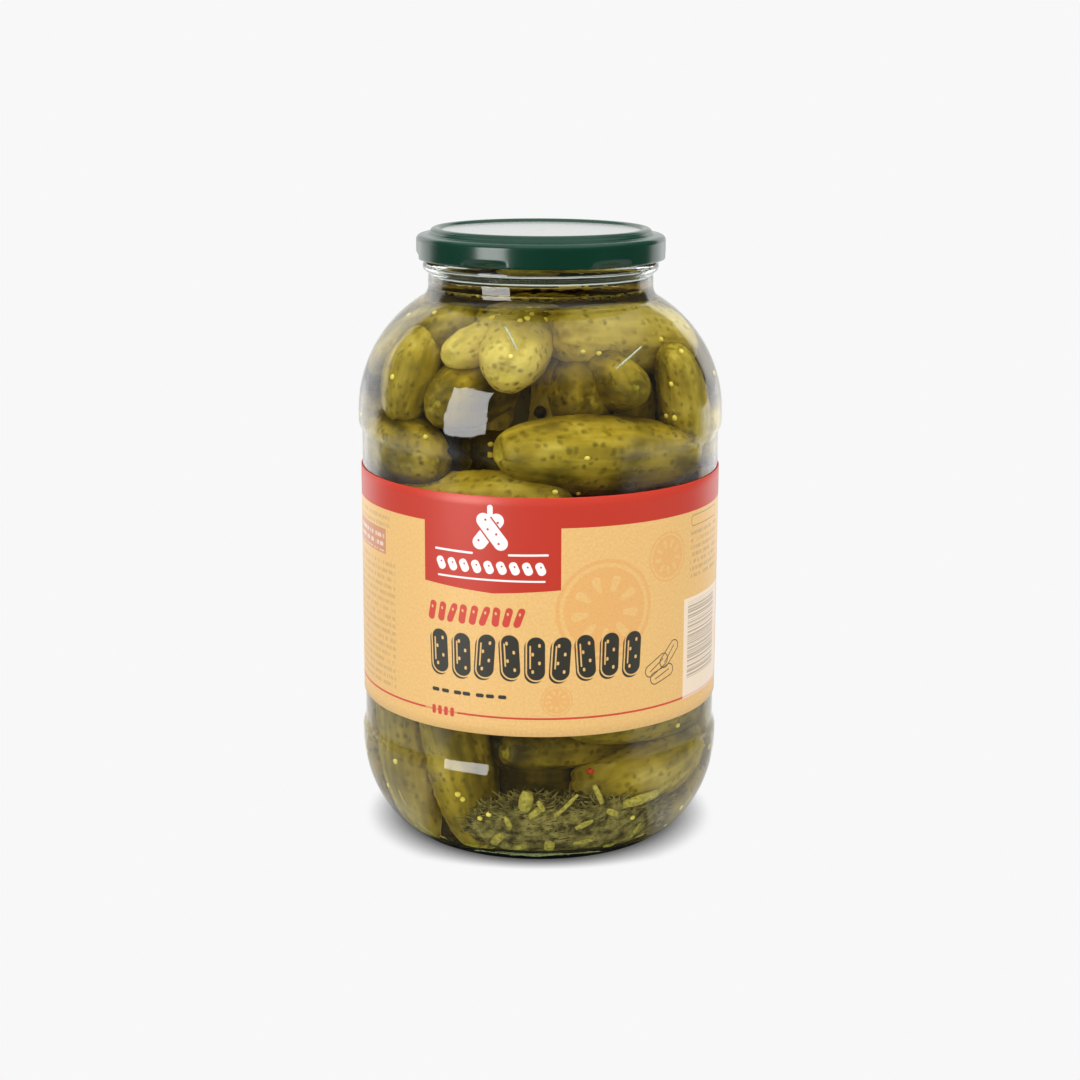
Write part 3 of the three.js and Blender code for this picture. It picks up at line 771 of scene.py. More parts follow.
def pellets(name, centres, sizes, squash, rough):
    """Round grains as one mesh: copies of a small sphere, flattened by squash, whose surface is
    waved by rough with a phase of its own."""
    polar = np.linspace(0.12, math.pi - 0.12, PELLET_ROWS)[:, None]
    turn = np.linspace(0, 2 * math.pi, PELLET_COLUMNS, endpoint=False)[None, :]
    unit = np.stack([np.sin(polar) * np.cos(turn), np.sin(polar) * np.sin(turn), np.cos(polar) + 0 * turn], 2)
    phase = rng.uniform(0, 2 * math.pi, (len(centres), 1, 1))
    wave = 1 + rough * np.sin(3 * turn + phase) * np.cos(4 * polar + phase)
    shape = unit[None] * wave[..., None] * sizes[:, None, None, None]
    shape[..., 2] *= squash
    rings = np.array(centres)[:, None, None] + shape
    grid = np.arange(rings.size // 3).reshape(rings.shape[:3])
    lower, upper = grid[:, :-1], grid[:, 1:]
    quads = np.stack([lower, upper, np.roll(upper, -1, 2), np.roll(lower, -1, 2)], 3).reshape(-1, 4)
    faces = quads.tolist() + grid[:, 0].tolist() + grid[:, -1, ::-1].tolist()
    piece = piece_of(name, rings.reshape(-1, 3) * MM, faces)
    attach(piece, "root")
    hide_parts("pickles")
    return piece


seats = [on_heap(pixel) for pixel in SEED_PIXELS]
while len(seats) < len(SEED_PIXELS) + HIDDEN_SEEDS:
    angle = math.radians(rng.uniform(*HIDDEN_AZIMUTHS))
    height = rng.choice([rng.uniform(*HIDDEN_HIGH), rng.uniform(*HIDDEN_LOW)])
    inwards = Vector((-math.sin(angle), math.cos(angle), 0))
    start = Vector((0, 0, height * MM)) - inwards * (room(height, 0.2) * MM)
    met = heap_tree.ray_cast(start, inwards)[0]
    if met is not None and math.hypot(met.x, met.y) > HIDDEN_RADIUS * MM:
        seats.append(np.array(met) / MM)
seed_sizes = SEED_RADIUS * rng.uniform(*SEED_SIZES, len(seats))
mustard_seeds = pellets("mustard_seeds", kept_inside(np.array(seats), 1.6), seed_sizes, 0.9, 0.02)
peppercorn = pellets("peppercorn", kept_inside(on_heap(PEPPERCORN_PIXEL)[None], 3.0),
                     np.array([PEPPERCORN_RADIUS]), 0.95, 0.05)
flake_seat = at_glass(FLAKE_PIXEL, 2.2)[None]
pepper_flake = pellets("pepper_flake", flake_seat, np.array([FLAKE_SIZE / 2]), 0.55, 0.25)

# Each pale thread: the pixels in the photograph of its start, its bend and its end.
PALE_THREADS = [((505, 327), (511, 337), (517, 350)), ((641, 347), (630, 357), (616, 369))]
PALE_RADIUS = 0.45
thread_ends = np.array([[at_glass(pixel, 1.2) for pixel in points] for points in PALE_THREADS])
share = np.linspace(0, 1, 9)[None, :, None]
first, middle, last = (thread_ends[:, i:i + 1] for i in range(3))
bent = (1 - share) ** 2 * first + 2 * share * (1 - share) * middle + share ** 2 * last
pale_threads = tubes("pale_dill_threads", bent, np.full(len(bent), PALE_RADIUS), 6)
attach(pale_threads, "root")
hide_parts("dill_bed")

# Each finish: the piece that it is on, its darker and its lighter colour, and its grain in mm.
SPICE_FINISHES = {
    "yellow_mustard_seed": (mustard_seeds, "#dcc845", "#efe27c", 1.2),
    "black_peppercorn": (peppercorn, "#0c0906", "#2c2014", 1.6),
    "red_pepper_flake": (pepper_flake, "#8c2410", "#bb4526", 1.5),
    "bleached_dill": (pale_threads, "#9da089", "#bfc2ac", 1.5),
}
for name, (piece, dark, light, grain) in SPICE_FINISHES.items():
    piece.data.materials.append(herb_finish(name, dark, light, grain * MM))


# The brine: vinegar, water, salt and what the gherkins give off, filled to within the neck. It
# reaches just into the wall, so that no air shows between the two, and creeps up at its edge.
WALL_OVERLAP = 0.15
MENISCUS = 1.4
BRINE_HUE = "#dac850"
BRINE_DENSITY = 20

brine_wall = inner_wall(WALL_OVERLAP)
brine_wall = brine_wall[brine_wall[:, 1] < BRINE_LEVEL]
brine_bore = NECK_RADIUS - WALL + WALL_OVERLAP
surface_radius = np.linspace(brine_bore, 0, 24)
surface_height = BRINE_LEVEL + MENISCUS * np.exp((surface_radius - brine_bore) / 2)
brine_profile = chain(
    brine_wall, line((brine_bore, BRINE_LEVEL), (brine_bore, BRINE_LEVEL + MENISCUS - 0.2), 2),
    np.stack([surface_radius, surface_height], 1),
)
brine = surface("brine", turned(brine_profile, GLASS_COLUMNS))
brine_finish = clear_finish("pickling_brine", "#ffffff", BRINE_IOR, "#ffffff", 0)
tree = brine_finish.node_tree
haze = add(tree, "ShaderNodeVolumeAbsorption", {"Color": linear(BRINE_HUE), "Density": BRINE_DENSITY})
tree.links.new(haze.outputs[0], tree.nodes["Material Output"].inputs["Volume"])
brine.data.materials.append(brine_finish)
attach(brine, "root")


# The label: a paper wrap, printed in flat colours and varnished, glued round the recessed band
# with its ends lapped at the back. A red band and block, and a print of gherkins on cream.
LABEL_INNER = 75.5
LABEL_OUTER = 76
LABEL_BOTTOM = 59.4
LABEL_TOP = 157.3
LABEL_COLUMNS = 384
LABEL_ROUNDING = 0.12

edge = LABEL_OUTER - LABEL_ROUNDING
label_profile = np.array([
    (LABEL_INNER, LABEL_BOTTOM), (edge, LABEL_BOTTOM), (LABEL_OUTER, LABEL_BOTTOM + LABEL_ROUNDING),
    (LABEL_OUTER, LABEL_BOTTOM + 4), (LABEL_OUTER, LABEL_TOP - 4),
    (LABEL_OUTER, LABEL_TOP - LABEL_ROUNDING), (edge, LABEL_TOP), (LABEL_INNER, LABEL_TOP),
])
label = surface("label_paper", turned(label_profile, LABEL_COLUMNS), closed=True)
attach(label, "root")
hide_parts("label")

# Coated paper, offset printed and varnished. The print is laid out in millimetres, across from the
# front and up from the jar's foot, in shapes that are each the distance to a rounded bar.
CREAM = "#e3ba76"
CREAM_WARM = "#dcad66"
RED = "#bd2f1a"
INK_DARK = "#35342b"
INK_RED = "#c8402f"
INK_PLUM = "#a93a50"
INK_GREY = "#85745a"
SLICE_ORANGE = "#dc9750"
WHITE = "#f3f1ee"
BAND_BOTTOM = 145.1
BLOCK_LEFT, BLOCK_RIGHT, BLOCK_BOTTOM = -49.3, 8.5, 120.2
BLOCK_POINT, BLOCK_POINT_DROP = -18.5, 2.0
EDGE_SOFTNESS = 0.12
FIBRE_SCALE = 900.0
FIBRE_RELIEF = 0.012 * MM

label_print, tree, output = finish_of("printed_coated_paper")
place = add(tree, "ShaderNodeTexCoord").outputs["Object"]
axes = add(tree, "ShaderNodeSeparateXYZ", {0: place})


def math_of(operation, *values):
    """The result of one sum on the label's print, from numbers or other results."""
    return sum_of(tree, operation, *values)


def point_of(x, y):
    """A point on the flat sheet from two results."""
    return add(tree, "ShaderNodeCombineXYZ", {"X": x, "Y": y}).outputs[0]


def bar(on, centre, half, corner=0.0, turn=0.0):
    """1 inside a rounded bar: where the length of max(|p| - half + corner, 0) is under corner."""
    local = add(tree, "ShaderNodeMapping", {
        "Vector": on, "Location": (*centre, 0), "Rotation": (0, 0, math.radians(turn)),
    }, vector_type="TEXTURE").outputs[0]
    size = add(tree, "ShaderNodeVectorMath", {0: local}, operation="ABSOLUTE").outputs[0]
    inner = (half[0] - corner, half[1] - corner, 0)
    past = add(tree, "ShaderNodeVectorMath", {0: size, 1: inner}, operation="SUBTRACT").outputs[0]
    past = add(tree, "ShaderNodeVectorMath", {0: past, 1: (0, 0, 0)}, operation="MAXIMUM").outputs[0]
    far = add(tree, "ShaderNodeVectorMath", {0: past}, operation="LENGTH").outputs["Value"]
    return ranged(tree, far, corner - EDGE_SOFTNESS, corner + EDGE_SOFTNESS, 1.0, 0.0)


def joined(masks):
    """Masks of one colour as one: the largest of them at each point, taken as each is made."""
    whole = None
    for mask in masks:
        whole = mask if whole is None else math_of("MAXIMUM", whole, mask)
    return whole


def without(mask, cut):
    """A mask less another one."""
    return math_of("MULTIPLY", mask, math_of("SUBTRACT", 1.0, cut))


def ink(under, mask, colour):
    """One printed colour over what is under it."""
    return mixed(tree, mask, under, linear(colour))


def repeated(value, start, pitch, count):
    """A coordinate that starts again in each of count cells, and which cell it is in."""
    cell = math_of("ROUND", math_of("DIVIDE", math_of("SUBTRACT", value, start), pitch))
    cell = math_of("MINIMUM", math_of("MAXIMUM", cell, 0.0), count - 1.0)
    return math_of("SUBTRACT", value, math_of("MULTIPLY_ADD", cell, pitch, start)), cell


def wave(index, rate, phase, amount):
    """An uneven offset from cell to cell: amount times the sine of rate per cell."""
    return math_of("MULTIPLY", math_of("SINE", math_of("MULTIPLY_ADD", index, rate, phase)), amount)


def small_print(centre, half, pitch, phase):
    """Rows of broken strokes, pitch apart, as fine print looks from a step away."""
    row = math_of("DIVIDE", upward, pitch)
    stroke = point_of(math_of("MULTIPLY", across, 0.75),
                      math_of("MULTIPLY_ADD", math_of("FLOOR", row), 7.3, phase))
    noise = add(tree, "ShaderNodeTexNoise", {"Vector": stroke, "Scale": 1.0, "Detail": 3.0},
                noise_dimensions="2D")
    dark = math_of("GREATER_THAN", noise.outputs["Fac"], 0.46)
    inked = math_of("LESS_THAN", math_of("FRACT", row), 0.5)
    return math_of("MULTIPLY", math_of("MULTIPLY", dark, inked), bar(sheet, centre, half))


front = math_of("MULTIPLY", axes.outputs["Y"], -1.0)
azimuth = math_of("ARCTAN2", axes.outputs["X"], front)
across = math_of("MULTIPLY", azimuth, float(LABEL_OUTER))
upward = math_of("MULTIPLY", axes.outputs["Z"], 1 / MM)
sheet = point_of(across, upward)

# Cream ground, warmer in patches as the varnish lies, with slices of gherkin printed pale in it.
ground_noise = noise_of(tree, sheet, 0.9, 6.0)
colour = mixed(tree, ranged(tree, ground_noise, 0.35, 0.7), linear(CREAM), linear(CREAM_WARM))
SLICES = [((27, 111), 21), ((57, 129), 10.5), ((7, 74.5), 6.5)]
SEEDS_IN_SLICE = 9
SLICE_STRENGTH = 0.42


def slice_print(centre, size):
    """A cut slice: a ring of skin round flesh, less a ring of seeds that repeats by the angle."""
    from_centre = add(tree, "ShaderNodeVectorMath", {0: sheet, 1: (*centre, 0)}, operation="SUBTRACT")
    parts = add(tree, "ShaderNodeSeparateXYZ", {0: from_centre.outputs[0]})
    far = add(tree, "ShaderNodeVectorMath", {0: from_centre.outputs[0]}, operation="LENGTH")
    far = far.outputs["Value"]
    angle = math_of("ARCTAN2", parts.outputs["X"], parts.outputs["Y"])
    local, _ = repeated(angle, -math.pi, 2 * math.pi / SEEDS_IN_SLICE, SEEDS_IN_SLICE + 1)
    seed = bar(point_of(math_of("MULTIPLY", local, 0.5 * size), far),
               (0, 0.52 * size), (0.07 * size, 0.17 * size), 0.07 * size)
    rim = math_of("COMPARE", far, 0.95 * size, 0.04 * size)
    return math_of("MAXIMUM", rim, without(math_of("LESS_THAN", far, 0.83 * size), seed))


slices = joined(slice_print(centre, size) for centre, size in SLICES)
colour = ink(colour, math_of("MULTIPLY", slices, SLICE_STRENGTH), SLICE_ORANGE)

# The red band along the top, and the block that hangs from it to a shallow point.
block_middle, block_half = (BLOCK_LEFT + BLOCK_RIGHT) / 2, (BLOCK_RIGHT - BLOCK_LEFT) / 2
slope = math_of("ABSOLUTE", math_of("SUBTRACT", across, BLOCK_POINT))
foot = math_of("MULTIPLY_ADD", slope, BLOCK_POINT_DROP / block_half, BLOCK_BOTTOM - BLOCK_POINT_DROP)
beside = math_of("ABSOLUTE", math_of("SUBTRACT", across, block_middle))
block = math_of("MULTIPLY", math_of("LESS_THAN", beside, block_half),
                math_of("GREATER_THAN", upward, foot))
colour = ink(colour, math_of("MAXIMUM", math_of("GREATER_THAN", upward, BAND_BOTTOM), block), RED)

# In the block: two crossed gherkins under a leaf, and a row of ovals between two rules. Cells are
# the place of the first, the pitch and the count of a row; a line is the height of its middle.
EMBLEM = (-19.8, 143.2)
EMBLEM_LEAN = 38
DOT_CELLS = (-5.4, 3.6, 4)
OVAL_CELLS = (-41.2, 5.2, 9)
OVAL_LINE = 128.7


def emblem_gherkin(side):
    """A leaning rounded bar less a zigzag of dots along it."""
    own = add(tree, "ShaderNodeMapping", {
        "Vector": sheet, "Location": (EMBLEM[0] + 0.8 * side, EMBLEM[1], 0),
        "Rotation": (0, 0, math.radians(EMBLEM_LEAN * side)),
    }, vector_type="TEXTURE").outputs[0]
    parts = add(tree, "ShaderNodeSeparateXYZ", {0: own})
    along, number = repeated(parts.outputs["Y"], *DOT_CELLS)
    zigzag = point_of(math_of("ADD", parts.outputs["X"], wave(number, math.pi, 1.57, 0.8)), along)
    return without(bar(own, (0, 0), (2.9, 8.6), 2.9), bar(zigzag, (0, 0), (0.5, 0.5), 0.5))


in_front = bar(sheet, (EMBLEM[0] + 0.8, EMBLEM[1]), (3.6, 9.3), 3.6, EMBLEM_LEAN)
emblem = math_of("MAXIMUM", without(emblem_gherkin(-1), in_front), emblem_gherkin(1))
oval_place, number = repeated(across, *OVAL_CELLS)
oval_sheet = point_of(oval_place, upward)
gleams = bar(oval_sheet, (0.1, OVAL_LINE + 0.7), (0.4, 0.4), 0.4)
ovals = without(bar(oval_sheet, (0, OVAL_LINE), (1.7, 2.7), 1.6, 24), gleams)
white_shapes = [
    ((-19.8, 151.6), (1.1, 2.4), 1.1, 0), ((-35.5, 134.2), (8.5, 0.42), 0.3, -1),
    ((-4.5, 134.2), (8.0, 0.42), 0.3, 1), ((-20.2, 123.6), (22.5, 0.36), 0.3, 0),
]
whites = joined(bar(sheet, *shape) for shape in white_shapes)
colour = ink(colour, math_of("MAXIMUM", math_of("MAXIMUM", emblem, ovals), whites), WHITE)

# Under it: a row of small red gherkins, a row of large dark ones with a line round their shadow,
# a row of dashes, and a thin rule round the foot with four pips in its gap.
RED_CELLS = (-45.6, 4.7, 9)
RED_LINE = 108.6
BIG_CELLS = (-41.9, 10.15, 9)
BIG_LINE = 92.2
DASH_CELLS = (-44.2, 4.9, 7)
DASH_LINE = 75.6
PIP_CELLS = (-45.2, 2.9, 4)
RULE_LINE = 67.0
RULE_GAP_MIDDLE = -41.9

red_place, number = repeated(across, *RED_CELLS)
lean = math_of("MULTIPLY", math_of("SUBTRACT", upward, RED_LINE), wave(number, 2.2, 0.4, 0.14))
red_sheet = point_of(math_of("ADD", red_place, lean), upward)
gleams = bar(red_sheet, (0.1, RED_LINE + 1.4), (0.4, 0.6), 0.4)
reds = without(bar(red_sheet, (0, RED_LINE), (1.5, 4.1), 1.45, -14), gleams)
colour = ink(colour, reds, INK_RED)
big_place, number = repeated(across, *BIG_CELLS)
height = math_of("ADD", math_of("SUBTRACT", upward, BIG_LINE), wave(number, 1.7, 0.0, 0.4))
lean = math_of("MULTIPLY", height, wave(number, 2.2, 0.6, 0.07))
leaning = math_of("ADD", big_place, lean)
big_sheet = point_of(leaning, height)
shadow = without(bar(big_sheet, (-0.75, -0.9), (4.0, 9.3), 3.9), bar(big_sheet, (0, 0), (4.2, 9.5), 4.1))
face = bar(big_sheet, (0, 0), (3.6, 8.9), 3.5)
up_wart, wart = repeated(height, *DOT_CELLS)
warts = point_of(math_of("ADD", leaning, wave(math_of("ADD", wart, number), math.pi, 1.57, 1.35)), up_wart)
gleam = bar(big_sheet, (-2.35, 0.6), (0.3, 4.8), 0.3)
face = without(without(face, bar(warts, (0, 0), (0.5, 0.72), 0.45)), gleam)
dash_place, number = repeated(across, *DASH_CELLS)
dash_sheet = point_of(math_of("ADD", dash_place, wave(number, 2.6, 0.0, 0.5)), upward)
dashes = bar(dash_sheet, (0, DASH_LINE), (1.7, 0.8), 0.7)
colour = ink(colour, math_of("MAXIMUM", math_of("MAXIMUM", shadow, face), dashes), INK_DARK)
SKETCHES = [((51.5, 84.5), -62), ((58.5, 88.0), -45), ((54.5, 80.2), -74)]
outlines = joined(
    without(bar(sheet, seat, (2.7, 6.6), 2.6, turn), bar(sheet, seat, (2.3, 6.2), 2.2, turn))
    for seat, turn in SKETCHES)
creases = joined(bar(sheet, seat, (0.2, 4.2), 0.2, turn + 5) for seat, turn in SKETCHES)
colour = ink(colour, math_of("MAXIMUM", outlines, creases), INK_DARK)
rule = math_of("COMPARE", upward, RULE_LINE, 0.42)
in_gap = bar(sheet, (RULE_GAP_MIDDLE, RULE_LINE), (7.8, 3))
pip_place, number = repeated(across, *PIP_CELLS)
pips = bar(point_of(pip_place, upward), (0, RULE_LINE), (0.9, 1.9), 0.8)
colour = ink(colour, math_of("MAXIMUM", without(rule, in_gap), pips), INK_RED)

# On the sides: panels of fine print, a header bar, a white panel of stripes, and the lapped end.
FINE_PRINT = [
    ((86, 127), (14.5, 11), 3.0, 1.0, 0.75), ((-87, 97), (19.5, 27), 3.2, 2.0, 0.6),
    ((-88, 139.8), (17, 3.4), 3.2, 3.0, 0.6), ((150, 106), (24, 33), 3.4, 5.0, 0.5),
    ((-158, 106), (30, 33), 3.4, 6.0, 0.5),
]
for centre, half, pitch, phase, strength in FINE_PRINT:
    mask = small_print(centre, half, pitch, phase)
    colour = ink(colour, math_of("MULTIPLY", mask, strength), INK_GREY)
frame_line = without(bar(sheet, (85.5, 141), (13.5, 2.4), 1.6), bar(sheet, (85.5, 141), (13.1, 2.0), 1.3))
colour = ink(colour, math_of("MULTIPLY", frame_line, 0.8), INK_GREY)
colour = ink(colour, bar(sheet, (-91, 131.5), (16.8, 5.2)), INK_PLUM)
colour = ink(colour, small_print((-91, 131.5), (15.5, 4.4), 3.4, 4.0), WHITE)
colour = ink(colour, bar(sheet, (87, 87.6), (19.2, 21.2)), WHITE)
stripe_noise = add(tree, "ShaderNodeTexNoise", {"W": upward, "Scale": 1.3, "Detail": 1.0},
                   noise_dimensions="1D").outputs["Fac"]
stripes = math_of("MULTIPLY", math_of("GREATER_THAN", stripe_noise, 0.5),
                  bar(sheet, (84.5, 90.8), (13.8, 16.2)))
colour = ink(colour, stripes, INK_DARK)
lap = math_of("GREATER_THAN", math_of("ABSOLUTE", across), math.pi * LABEL_OUTER - 0.25)
colour = ink(colour, math_of("MULTIPLY", lap, 0.6), INK_GREY)

fibres = noise_of(tree, place, FIBRE_SCALE, 3.0)
skin_of(tree, output, colour, 0.38, 1.46, fibres, FIBRE_RELIEF)
label.data.materials.append(label_print)


# The lid: a twist-off cap pressed from tinplate. Its edge is curled under and pressed in at six
# places, the lugs, and its top has a ledge, a raised bead and a sunk panel printed white.
LID_RADIUS = 52
LID_BOTTOM = 243.5
LID_TOP = 256.3
LEDGE_HEIGHT = 253.6
DISC_RADIUS = 41.3
DISC_HEIGHT = 255
SHEET = 0.8
LUGS = 6
LUG_DEPTH = 1.5
LUG_WIDTH = math.radians(22)
LUG_AZIMUTH = math.radians(34)
LID_COLUMNS = 384
CURL_ROUNDING = 0.9
CORNER_ROUNDING = 2.1
CORNER_INSIDE = 1.4

lid_inner = LID_RADIUS - SHEET
lid_outside = chain(
    arc((LID_RADIUS - CURL_ROUNDING, LID_BOTTOM + CURL_ROUNDING), (CURL_ROUNDING,) * 2, 200, 360, 12),
    line((LID_RADIUS, LID_BOTTOM + 1.4), (LID_RADIUS, LEDGE_HEIGHT - 2.4), 8),
    arc((LID_RADIUS - CORNER_ROUNDING, LEDGE_HEIGHT - 2.3), (CORNER_ROUNDING,) * 2, 0, 84, 10),
    line((LID_RADIUS - 2.4, LEDGE_HEIGHT - 0.15), (LID_RADIUS - 4.6, LEDGE_HEIGHT + 0.15), 3),
    ease((LID_RADIUS - 4.9, LEDGE_HEIGHT + 0.3), (LID_RADIUS - 6.1, LID_TOP - 0.9), 6),
    arc((LID_RADIUS - 8, LID_TOP - 1.9), (2.2, 1.9), 30, 140, 12),
    ease((DISC_RADIUS + 0.9, LID_TOP - 0.9), (DISC_RADIUS, DISC_HEIGHT), 3)[1:],
    line((DISC_RADIUS - 0.6, DISC_HEIGHT), (0, DISC_HEIGHT), 24),
)
lid_inside = chain(
    line((0, DISC_HEIGHT - SHEET), (DISC_RADIUS, DISC_HEIGHT - SHEET), 12),
    line((lid_inner - 3.8, LEDGE_HEIGHT - 0.5), (lid_inner - 1.6, LEDGE_HEIGHT - 0.8), 2),
    arc((lid_inner - CORNER_INSIDE, LEDGE_HEIGHT - 2.2), (CORNER_INSIDE,) * 2, 84, 0, 6),
    line((lid_inner, LEDGE_HEIGHT - 3), (lid_inner, LID_BOTTOM + 2.4), 6),
    [(lid_inner - CURL_ROUNDING, LID_BOTTOM + 1.9)],
)
lid_rings = turned(chain(lid_outside, lid_inside), LID_COLUMNS)
lid_turn = np.arctan2(lid_rings[..., 0], -lid_rings[..., 1])
pitch = 2 * math.pi / LUGS
away = np.abs((lid_turn - LUG_AZIMUTH + pitch / 2) % pitch - pitch / 2)
press = np.cos(math.pi * np.minimum(away / LUG_WIDTH, 0.5)) ** 0.6
low = np.clip((LID_BOTTOM + 3.2 - lid_rings[..., 2] / MM) / 2.2, 0, 1) ** 1.5
lid_reach = np.hypot(lid_rings[..., 0], lid_rings[..., 1])
lid_rings[..., :2] *= (1 - LUG_DEPTH * MM * press * low / np.maximum(lid_reach, MM))[..., None]
lid = surface("lid_tinplate", lid_rings, closed=True)

LACQUER = "#073626"
LACQUER_DEEP = "#042a1d"
WHITE_INK = "#939593"
CLOUD_SCALE = 60.0
ORANGE_PEEL_SCALE = 1500.0
ORANGE_PEEL_RELIEF = 0.006 * MM
INK_REACH = 0.4

lid_finish, tree, output = finish_of("lacquered_tinplate")
place = add(tree, "ShaderNodeTexCoord").outputs["Object"]
axes = add(tree, "ShaderNodeSeparateXYZ", {0: place})
flat = add(tree, "ShaderNodeCombineXYZ", {"X": axes.outputs["X"], "Y": axes.outputs["Y"]})
reach = add(tree, "ShaderNodeVectorMath", {0: flat.outputs[0]}, operation="LENGTH").outputs["Value"]
disc = sum_of(tree, "LESS_THAN", reach, DISC_RADIUS * MM)
top = sum_of(tree, "GREATER_THAN", axes.outputs["Z"], (DISC_HEIGHT - INK_REACH) * MM)
cloud = noise_of(tree, place, CLOUD_SCALE, 3.0)
green = mixed(tree, cloud, linear(LACQUER_DEEP), linear(LACQUER))
coat = mixed(tree, sum_of(tree, "MULTIPLY", disc, top), green, linear(WHITE_INK))
orange_peel = noise_of(tree, place, ORANGE_PEEL_SCALE, 2.0)
skin_of(tree, output, coat, 0.2, 1.5, orange_peel, ORANGE_PEEL_RELIEF)
lid.data.materials.append(lid_finish)
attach(lid, "root")
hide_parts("lid")


# The floor and the light: a pale sweep, a broad light above and softboxes in front. Shiny surfaces
# mirror a room of their own: dark in front, bright where a direction's Y - skew X - slope Z passes
# the side value, the sweep's colour behind, and a glow overhead.
BACKDROP = 0.939
ROOM_FRONT = 0.10
ROOM_SIDE = 0.54
ROOM_SIDE_EDGE = 0.03
ROOM_SKEW = 0.16
ROOM_SLOPE = 0.4
ROOM_BACK = (0.83, 0.93)
SIDE_GLOW = 1.4
CEILING = (0.55, 0.85)
CEILING_GLOW = 0.75

world = bpy.data.worlds.new("studio")
bpy.context.scene.world = world
world.use_nodes = True
tree = world.node_tree
tree.nodes.clear()
sky = add(tree, "ShaderNodeTexCoord").outputs["Generated"]
axes = add(tree, "ShaderNodeSeparateXYZ", {0: sky})
skewed = sum_of(tree, "MULTIPLY_ADD", axes.outputs["X"], -ROOM_SKEW, axes.outputs["Y"])
skewed = sum_of(tree, "MULTIPLY_ADD", axes.outputs["Z"], -ROOM_SLOPE, skewed)
sides = ranged(
    tree, skewed, ROOM_SIDE - ROOM_SIDE_EDGE, ROOM_SIDE + ROOM_SIDE_EDGE, ROOM_FRONT, SIDE_GLOW)
back = ranged(tree, axes.outputs["Y"], *ROOM_BACK, 0.0, SIDE_GLOW - BACKDROP)
ceiling = ranged(tree, axes.outputs["Z"], *CEILING, 0.0, CEILING_GLOW, "SMOOTHSTEP")
light = sum_of(tree, "ADD", sum_of(tree, "SUBTRACT", sides, back), ceiling)
rays = add(tree, "ShaderNodeLightPath")
seen = mixed(tree, rays.outputs["Is Glossy Ray"], BACKDROP, light, "FLOAT")
glow = add(tree, "ShaderNodeBackground", {"Color": (1, 1, 1, 1), "Strength": seen})
add(tree, "ShaderNodeOutputWorld", {"Surface": glow.outputs[0]})

# Sweep paper, as bright as the backdrop, with a contact shade round the jar's foot that is narrower
# in front. What shiny surfaces mirror of it is bright beside the jar only near by, and brighter
# far off behind it, apart from straight behind. Facing is Y over the distance from the jar.
FLOOR_SIZE = 6.0
FLOOR_SHADE = 0.017
FLOOR_SHADE_FRONT = 0.009
SHADE_FACING = (-1.0, -0.75)
SHADE_OPEN_SKY = (0.15, 0.72)
SHADE_DARKEST = 0.1
BESIDE_FACING = (-0.68, -0.56)
BESIDE_GLOW = 0.7
NEAR_BY = (0.75, 0.95)
BEHIND_FACING = (0.42, 0.55)
STRAIGHT_BEHIND = (0.86, 0.94)
FAR_OFF = (0.42, 0.62)
TABLE_GLOW = 1.8

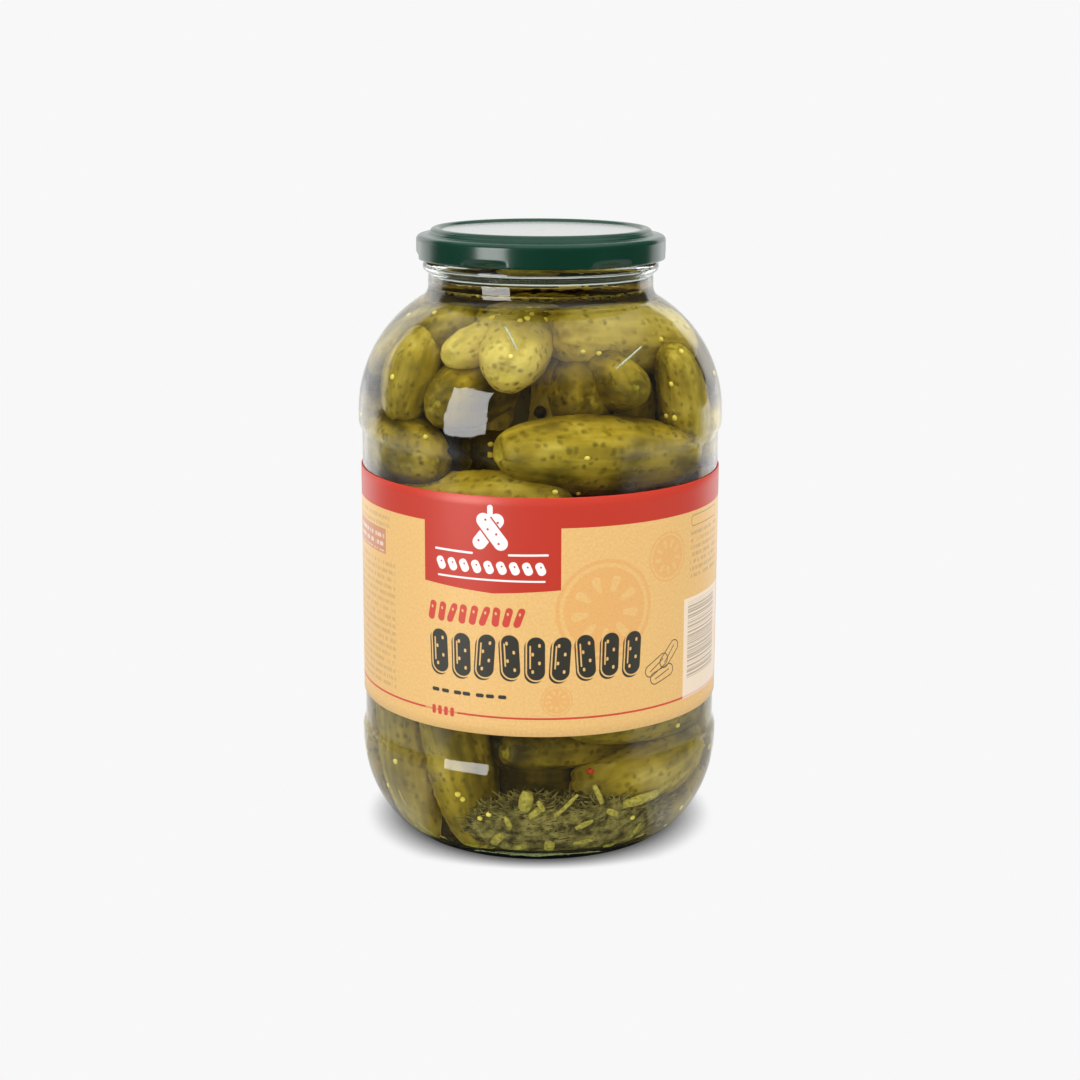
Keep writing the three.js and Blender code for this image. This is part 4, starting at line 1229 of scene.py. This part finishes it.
half = FLOOR_SIZE / 2
corners = np.array([(-half, -half, 0), (half, -half, 0), (half, half, 0), (-half, half, 0)])
floor = piece_of("floor", corners, [(0, 1, 2, 3)])
sweep, tree, output = finish_of("paper_sweep")
place = add(tree, "ShaderNodeTexCoord").outputs["Object"]
axes = add(tree, "ShaderNodeSeparateXYZ", {0: place})
reach = add(tree, "ShaderNodeVectorMath", {0: place}, operation="LENGTH").outputs["Value"]
facing = sum_of(tree, "DIVIDE", axes.outputs["Y"], reach)
spread = ranged(tree, facing, *SHADE_FACING, FLOOR_SHADE_FRONT, FLOOR_SHADE)
open_sky = add(tree, "ShaderNodeAmbientOcclusion", {"Distance": spread}, samples=12).outputs["AO"]
shade = ranged(tree, open_sky, *SHADE_OPEN_SKY, SHADE_DARKEST, BACKDROP)
beside = ranged(tree, facing, *BESIDE_FACING, ROOM_FRONT, BESIDE_GLOW)
beside = sum_of(tree, "MULTIPLY", beside, ranged(tree, reach, *NEAR_BY, 1.0, ROOM_FRONT))
behind = ranged(tree, facing, *BEHIND_FACING)
far_off = ranged(tree, reach, *FAR_OFF, 0.0, TABLE_GLOW - 1)
extra = sum_of(tree, "MULTIPLY", far_off, ranged(tree, facing, *STRAIGHT_BEHIND, 1.0, 0.0))
behind = sum_of(tree, "MULTIPLY_ADD", extra, behind, behind)
mirrored = sum_of(tree, "MULTIPLY", shade, sum_of(tree, "MAXIMUM", beside, behind))
rays = add(tree, "ShaderNodeLightPath")
through = mixed(tree, rays.outputs["Is Camera Ray"], BACKDROP, shade, "FLOAT")
seen = mixed(tree, rays.outputs["Is Glossy Ray"], through, mirrored, "FLOAT")
bright = add(tree, "ShaderNodeEmission", {"Color": (1, 1, 1, 1), "Strength": seen})
tree.links.new(bright.outputs[0], output.inputs["Surface"])
floor.data.materials.append(sweep)


LIGHT_AIM = Vector((0, 0, 0.15))


def soft_light(name, place, size, radiance, glossy, diffuse):
    """A rectangular soft light at a place in metres, aimed at the jar, of an even brightness."""
    lamp = bpy.data.lights.new(name, "AREA")
    lamp.shape = "RECTANGLE"
    lamp.size, lamp.size_y = size
    lamp.energy = radiance * math.pi * size[0] * size[1]
    box = bpy.data.objects.new(name, lamp)
    aim = LIGHT_AIM - Vector(place)
    box.matrix_world = Matrix.Translation(place) @ aim.to_track_quat("-Z", "Y").to_matrix().to_4x4()
    box.visible_camera = False
    box.visible_transmission = False
    box.visible_glossy = glossy
    box.visible_diffuse = diffuse
    bpy.context.scene.collection.objects.link(box)
    return box


soft_light("overhead", (0, -0.2, 1.2), (1.2, 0.9), 4.0, False, True)
soft_light("key", (-0.9, -1.2, 0.9), (1.0, 1.0), 1.6, False, True)
soft_light("fill", (0.9, -1.4, 0.7), (1.0, 1.0), 0.5, False, True)
soft_light("window", (-0.85, -0.85, 0.30), (0.6, 0.9), 8.5, True, False)
